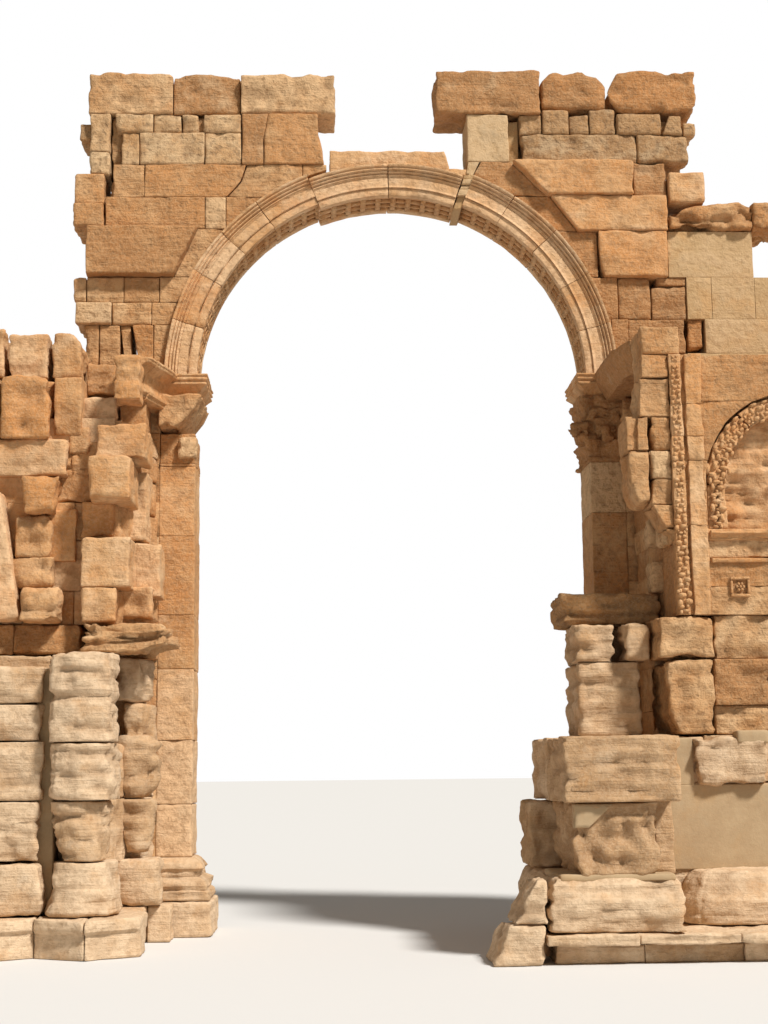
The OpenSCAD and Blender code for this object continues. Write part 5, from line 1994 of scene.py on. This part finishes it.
        return [
            Masonry("pier_right_upper_stones", OCHRE, "pier_right_upper", body,
                    dents=0.045, layers=0.03, grit=0.012, seed=71, shade=-0.05),
            Masonry("niche_back_stones", HONEY, "niche_shell", back + shell, dents=0.06,
                    dent_size=0.6, layers=0.05, grit=0.014, seed=72),
            Masonry("pier_right_lower_stones", CREAM, "pier_right_lower", lower,
                    dents=0.05, layers=0.045, grit=0.012, seed=73),
            Masonry("cement_patches", CEMENT, "", self._cement(), dents=0.02, seed=70),
            *self._trim(),
            *self._pedestal(),
        ]

    def _cement(self) -> list[Stone]:
        """Modern cement that fills the lost stones of the foot.

        Returns:
            The patches.
        """
        s = Stone
        smooth = {"wear": 0.35, "edge": 0.03, "cell": 0.1}
        return [
            s(3.805, 8.57, 1.16, 2.42, front=RIGHT_Y - 0.03, back=RIGHT_Y + 0.1, **smooth),
            s(3.805, 4.34, 2.4, 3.12, front=RIGHT_Y - 0.03, back=RIGHT_Y + 0.1, **smooth),
            s(4.98, 5.48, 3.02, 3.22, RIGHT_Y - 0.2, RIGHT_Y + 0.1, edge=0.07, wear=0.5),
            s(2.05, 3.7, 1.11, 1.21, -2.8, -1.2, wear=0.9, edge=0.06),
            s(2.27, [(2.48, 1.84), (2.86, 2.185)], 1.84, 2.185, -2.8, -2.6, wear=0.6, edge=0.06),
        ]

    @staticmethod
    def _leaves(name: str) -> bpy.types.Object:
        """One cluster of leaves and berries, for the top of an arc.

        Args:
            name: Its name.

        Returns:
            The object.
        """
        store = MeshStore()
        for centre, radii in (
            ((-0.01, 0.0, 0.11), (0.065, 0.04, 0.028)), ((-0.06, 0.0, 0.05), (0.03, 0.03, 0.05)),
            ((0.04, 0.0, 0.04), (0.055, 0.045, 0.03)), ((-0.01, 0.0, -0.01), (0.022, 0.03, 0.025)),
            ((0.03, 0.0, -0.06), (0.028, 0.04, 0.05)), ((-0.05, 0.0, -0.06), (0.05, 0.035, 0.028)),
            ((0.0, 0.0, -0.12), (0.04, 0.03, 0.022)),
        ):
            store.add(*lump(centre, radii))
        return store.build(name)

    def carve(self) -> None:
        """Carves the vine of the outer strips, the leafy band of the niche and the rosettes."""
        n = self.niche
        for x, name in ((self.strip, "vine_left"), (2 * n.x - self.strip, "vine_right")):
            store = MeshStore()
            for centre, radii in (
                ((-0.045, 0.0, 0.035), (0.045, 0.035, 0.035)), ((0.045, 0.0, 0.05), (0.03, 0.03, 0.04)),
                ((0.02, 0.0, -0.03), (0.05, 0.035, 0.028)), ((-0.055, 0.0, -0.045), (0.028, 0.02, 0.035)),
                ((0.06, 0.0, -0.07), (0.02, 0.02, 0.02)),
            ):
                store.add(*lump(centre, radii))
            vine = store.build(name)
            REPEAT.apply(vine, HONEY, {"Count": 25, "Start": (x, RIGHT_Y - 0.045, 5.07),
                                       "Step": (0.0, 0.0, 0.165), "Uneven": 0.5})
            register(vine)
        store = MeshStore()
        inner = n.radius - n.band
        for a, b in spans(np.linspace(-90, 90, 8)):
            wedge = Stone(math.radians(a) * inner + 0.002, math.radians(b) * inner - 0.002, 0.0,
                          n.band - 0.03, RIGHT_Y + 0.07, -0.9, wear=1.0, edge=0.02, warmth=0.3,
                          tone=0.1)
            store.add(*wedge.shell(round(a) + 300))
        band = store.build("niche_band")
        BEND.apply(band, HONEY, {"Radius": inner, "Centre": (n.x, 0.0, n.springing), "Dents": 0.05,
                                 "Grit": 0.02, "Seed": 7})
        register(band)
        middle = n.radius - n.band / 2 - 0.015
        leaves = self._leaves("niche_leaves")
        ON_ARC.apply(leaves, HONEY, {
            "Count": 24, "Radius": middle, "Start": math.radians(-88), "Uneven": 0.5,
            "Step": math.radians(176 / 23), "Centre": (n.x, RIGHT_Y + 0.075, n.springing),
        })
        register(leaves)
        for side, name in ((-1, "niche_leaves_left"), (1, "niche_leaves_right")):
            leaves = self._leaves(name)
            REPEAT.apply(leaves, HONEY, {
                "Count": 4, "Start": (n.x + side * middle, RIGHT_Y + 0.075, 6.42),
                "Step": (0.0, 0.0, 0.17), "Uneven": 0.5, "Turn": 0.0,
            })
            register(leaves)
        store = MeshStore()
        for i in range(6):
            turn = math.radians(60 * i)
            store.add(*lump((0.05 * math.cos(turn), 0.0, 0.05 * math.sin(turn)),
                            (0.026, 0.022, 0.026)))
        store.add(*lump((0.0, -0.01, 0.0), (0.025, 0.022, 0.025)))
        flowers = store.build("rosettes")
        first = (n.x - 1.5 * self.panel_pitch, RIGHT_Y - 0.02, self.panel_z)
        REPEAT.apply(flowers, HONEY, {"Count": 4, "Start": first, "Turn": 0.0,
                                      "Step": (self.panel_pitch, 0.0, 0.0)})
        register(flowers)

    def _trim(self) -> list[Masonry]:
        """Plain and carved strips, the sill and the row of small framed panels.

        Returns:
            Two pieces.
        """
        n = self.niche
        strips = []
        for side in (-1, 1):
            for near, far, proud in ((0.33, 0.54, 0.05), (0.02, 0.3, 0.07)):
                x0, x1 = sorted((n.x + side * (n.radius + near), n.x + side * (n.radius + far)))
                for z0, z1 in spans(self.joints):
                    strips.append(
                        Stone(x0, x1, z0, z1, RIGHT_Y - proud, RIGHT_Y + 0.2, edge=0.014, wear=1.3,
                              tone=float(chance.normal(0.1, 0.2)), warmth=0.4, cell=0.05)
                    )
        panels = [
            Stone(n.x - 1.44, n.x + 1.44, 6.16, 6.3, RIGHT_Y - 0.02, RIGHT_Y + 0.2,
                  profile=((0.2, 0.0), (0.5, 0.4), (1.0, 0.6), (1.0, 1.0)), reach=(0.0, 0.0, 0.08, 0.0),
                  edge=0.025, wear=1.8, warmth=0.4),
            Stone(n.x - 1.44, n.x + 1.44, 5.78, 5.86, RIGHT_Y - 0.06, RIGHT_Y + 0.2, edge=0.02,
                  wear=1.4, warmth=0.4),
        ]
        for i in (-1.5, -0.5, 0.5, 1.5):
            x, z, half, rim = n.x + i * self.panel_pitch, self.panel_z, 0.155, 0.045
            bars = (
                (x - half, x + half, z + half - rim, z + half),
                (x - half, x + half, z - half, z - half + rim),
                (x - half, x - half + rim, z - half + rim, z + half - rim),
                (x + half - rim, x + half, z - half + rim, z + half - rim),
            )
            panels += [Stone(*bar, RIGHT_Y - 0.04, RIGHT_Y + 0.05, edge=0.012, wear=0.7,
                             cell=0.05) for bar in bars]
        return [
            Masonry("strips_right_stones", HONEY, "carved_strips_right", strips, dents=0.03, seed=74),
            Masonry("sill_and_panels", HONEY, "square_panel_right", panels, dents=0.03, seed=75),
        ]

    def _pedestal(self) -> list[Masonry]:
        """The column pedestal beside the pier, its blocks and the plinth.

        Returns:
            Six pieces.
        """
        s = Stone
        y0, back = -2.935, 0.565
        cap = [
            s(2.12, 3.8, 2.2, 3.15, y0, -1.2, wear=1.5, edge=0.05, bed=1.0, tone=-0.1, cell=0.05,
              top=[(2.1, 3.14), (3.8, 3.15)]),
            s(2.12, 3.8, 2.2, 3.15, -1.196, back, wear=1.2, edge=0.05, bed=1.0, tone=0.4),
        ]
        die = [
            s([(2.33, 1.2), (2.24, 1.6), (2.24, 2.2)], [(3.5, 1.2), (3.52, 2.2)], 1.17, 2.2, y0 + 0.12,
              -0.735, wear=2.2, edge=0.07, bed=0.7, tone=-0.2, cell=0.05),
            s(3.52, 3.8, 1.17, 2.2, y0 + 0.6, -0.735, wear=0.5, edge=0.02),
            s(2.53, 3.8, 1.17, 2.2, -0.735, back, wear=1.0, edge=0.04),
            s(1.88, 2.53, 1.17, 2.2, -0.735, back, wear=1.8, edge=0.13, bed=0.8, tone=0.3),
        ]
        base = [
            s(1.98, 3.75, 0.42, 1.17, y0 + 0.12, back, wear=1.4, edge=0.1, bed=1.1, tone=0.8,
              profile=((1.0, 0.0), (1.0, 0.62), (0.4, 0.86), (0.0, 1.0)), reach=(0.13, 0.05, 0.2, 0.0),
              cell=0.05),
            s([(1.05, 0.0), (1.28, 0.55)], 1.82, 0.0, 0.55, -3.07, -1.84, wear=1.4, edge=0.1, bed=0.6,
              tone=0.7),
            s([(1.33, 0.55), (1.68, 1.17)], 1.86, 0.55, 1.17, -3.07, -1.84, wear=1.6, edge=0.12,
              bed=0.6, tone=0.6),
        ]
        blocks = [
            s(2.7, 3.74, 3.155, 4.31, -0.735, back, wear=1.8, edge=0.1, bed=0.9, tone=0.3, warmth=0.2),
            s(2.68, 3.36, 4.315, 4.92, -0.735, back, wear=1.6, edge=0.08, bed=1.4, tone=0.2,
              warmth=0.2),
            s(3.44, 3.86, 4.315, 4.92, -0.935, -0.135, wear=1.6, edge=0.09, bed=0.9, tone=0.2,
              warmth=0.4),
            s(3.42, 3.8, 3.155, 4.92, 0.1, back, wear=1.2, edge=0.05, tone=-0.4),
        ]
        # Brown stone; its deepest tone is painted shade, for the pier keeps this slab in shadow.
        ledge = [
            s(2.54, RETURN_X, 4.925, 5.46, -0.335, 0.865, wear=1.6, edge=0.05, bed=1.4, tone=-1.6,
              warmth=0.6, cell=0.05),
        ]
        slab = {"wear": 1.2, "bed": 0.8, "edge": 0.04, "tone": 0.6}
        plinth = [
            *row([1.95, 3.2, 4.6, 6.0, 7.4, 8.55], 0.0, 0.25, front=-2.885, back=-1.46, **slab),
            *row([1.8, 3.1, 4.5, 5.9, 7.3, PLINTH_X], 0.25, 0.42, front=-3.135, back=-1.46, **slab),
            s(1.8, 3.68, 0.0, 0.42, front=-1.455, back=0.565, **slab),
            *bonded((3.68, PLINTH_X), (-1.455, BACK), (0.0, 0.42), 1.25, 3, **slab),
            s(3.09, 3.68, 0.0, 0.42, front=1.435, back=BACK, **slab),
        ]
        return [
            Masonry("pedestal_cap_stones", CREAM, "pedestal_cap", cap, dents=0.05,
                    layers=0.05, seed=76, shade=-0.2),
            Masonry("pedestal_die_stones", CREAM, "pedestal_die", die, dents=0.08,
                    layers=0.04, dent_size=0.35, grit=0.02, seed=77, shade=-0.3),
            Masonry("pedestal_base_stones", CREAM, "pedestal_base", base, dents=0.06,
                    layers=0.05, seed=78),
            Masonry("pedestal_block_stones", CREAM, "pedestal_blocks", blocks,
                    dents=0.06, layers=0.05, seed=79),
            Masonry("ledge_right_slab", BROWN, "ledge_right", ledge, dents=0.05, layers=0.05, seed=80),
            Masonry("plinth_right_stones", CREAM, "plinth_right", plinth, dents=0.04, seed=81),
        ]


# The stage


@dataclass
class Studio:
    """Floor, light and camera."""

    focal: float = 1569.0
    image_height: float = 1024.0
    yaw: float = 2.225
    pitch: float = 9.319
    roll: float = 0.643
    stand: tuple[float, float, float] = (-1.225, -25.189, 2.69)
    floor_size: float = 400.0
    key: float = 4.75
    surround: float = 0.26
    key_way: tuple[float, float, float] = (-0.465, 0.48, -0.745)

    def build(self) -> None:
        """Makes the floor, the world, the lamps and the camera."""
        self._floor()
        self._world()
        self._lamps()
        self._camera()

    def _floor(self) -> None:
        """A plain pale floor that keeps the shadow and shows white to the camera far away."""
        mesh = bpy.data.meshes.new("floor")
        s = self.floor_size
        mesh.from_pydata([(-s, -s, -0.002), (s, -s, -0.002), (s, s, -0.002), (-s, s, -0.002)], [],
                         [(0, 1, 2, 3)])
        floor = bpy.data.objects.new("floor", mesh)
        bpy.context.scene.collection.objects.link(floor)
        material = bpy.data.materials.new("pale_floor")
        material.use_nodes = True
        bsdf = material.node_tree.nodes["Principled BSDF"]
        bsdf.inputs["Base Color"].default_value = (0.66, 0.645, 0.62, 1.0)
        bsdf.inputs["Roughness"].default_value = 0.95
        bsdf.inputs["Specular IOR Level"].default_value = 0.1
        mesh.materials.append(material)

    def _world(self) -> None:
        """A soft pale surround, white to the camera."""
        world = bpy.data.worlds.new("studio")
        bpy.context.scene.world = world
        world.use_nodes = True
        world.node_tree.nodes.clear()
        g = Graph(world.node_tree)
        path = g.node("ShaderNodeLightPath")
        soft = g.node("ShaderNodeBackground", None,
                      {"Color": (1.0, 0.96, 0.9, 1.0), "Strength": self.surround}).out()
        white = g.node("ShaderNodeBackground", None,
                       {"Color": (1.0, 1.0, 1.0, 1.0), "Strength": 1.0}).out()
        mixed = g.node("ShaderNodeMixShader", None,
                       {0: path.out("Is Camera Ray"), 1: soft, 2: white}).out()
        g.node("ShaderNodeOutputWorld", None, {"Surface": mixed})

    def _lamps(self) -> None:
        """A broad soft key from the upper right and front."""
        lamp = bpy.data.lights.new("key", "SUN")
        lamp.energy = self.key
        lamp.angle = math.radians(8.0)
        lamp.color = (1.0, 0.985, 0.96)
        key = bpy.data.objects.new("key", lamp)
        bpy.context.scene.collection.objects.link(key)
        key.rotation_euler = Vector(self.key_way).to_track_quat("-Z", "Y").to_euler()

    def _camera(self) -> None:
        """The camera at the place from which the monument is seen."""
        pitch, yaw, roll = (math.radians(a) for a in (self.pitch, self.yaw, self.roll))
        ahead = Vector((math.sin(yaw) * math.cos(pitch), math.cos(yaw) * math.cos(pitch),
                        math.sin(pitch)))
        level = Vector((math.cos(yaw), -math.sin(yaw), 0.0))
        above = level.cross(ahead)
        right = level * math.cos(roll) - above * math.sin(roll)
        up = above * math.cos(roll) + level * math.sin(roll)
        data = bpy.data.cameras.new("view")
        data.sensor_width = 36.0
        data.lens = self.focal / self.image_height * 36.0
        data.clip_end = 1000.0
        camera = bpy.data.objects.new("view", data)
        bpy.context.scene.collection.objects.link(camera)
        axes = Matrix((right, up, -ahead)).transposed()
        camera.matrix_world = Matrix.Translation(Vector(self.stand)) @ axes.to_4x4()
        bpy.context.scene.camera = camera
        bpy.context.scene.view_settings.view_transform = "Standard"


def main() -> None:
    """Builds the arch piece by piece, then the stage around it."""
    right_pier = RightPier()
    pieces = [*UpperWall().pieces(), *Jambs().pieces(), *RearWalls().pieces(), *LeftPier().pieces(),
              *right_pier.pieces()]
    Neighbours([stone for piece in pieces for stone in piece.stones]).settle()
    Ring().build()
    for piece in pieces:
        piece.build()
    right_pier.carve()
    Studio().build()
    total = sum(len(o.data.loop_triangles) for o in bpy.data.objects
                if o.type == "MESH" and not o.hide_render and not o.data.calc_loop_triangles())
    log.info("triangles: %d", total)


if __name__ == "__main__":
    main()
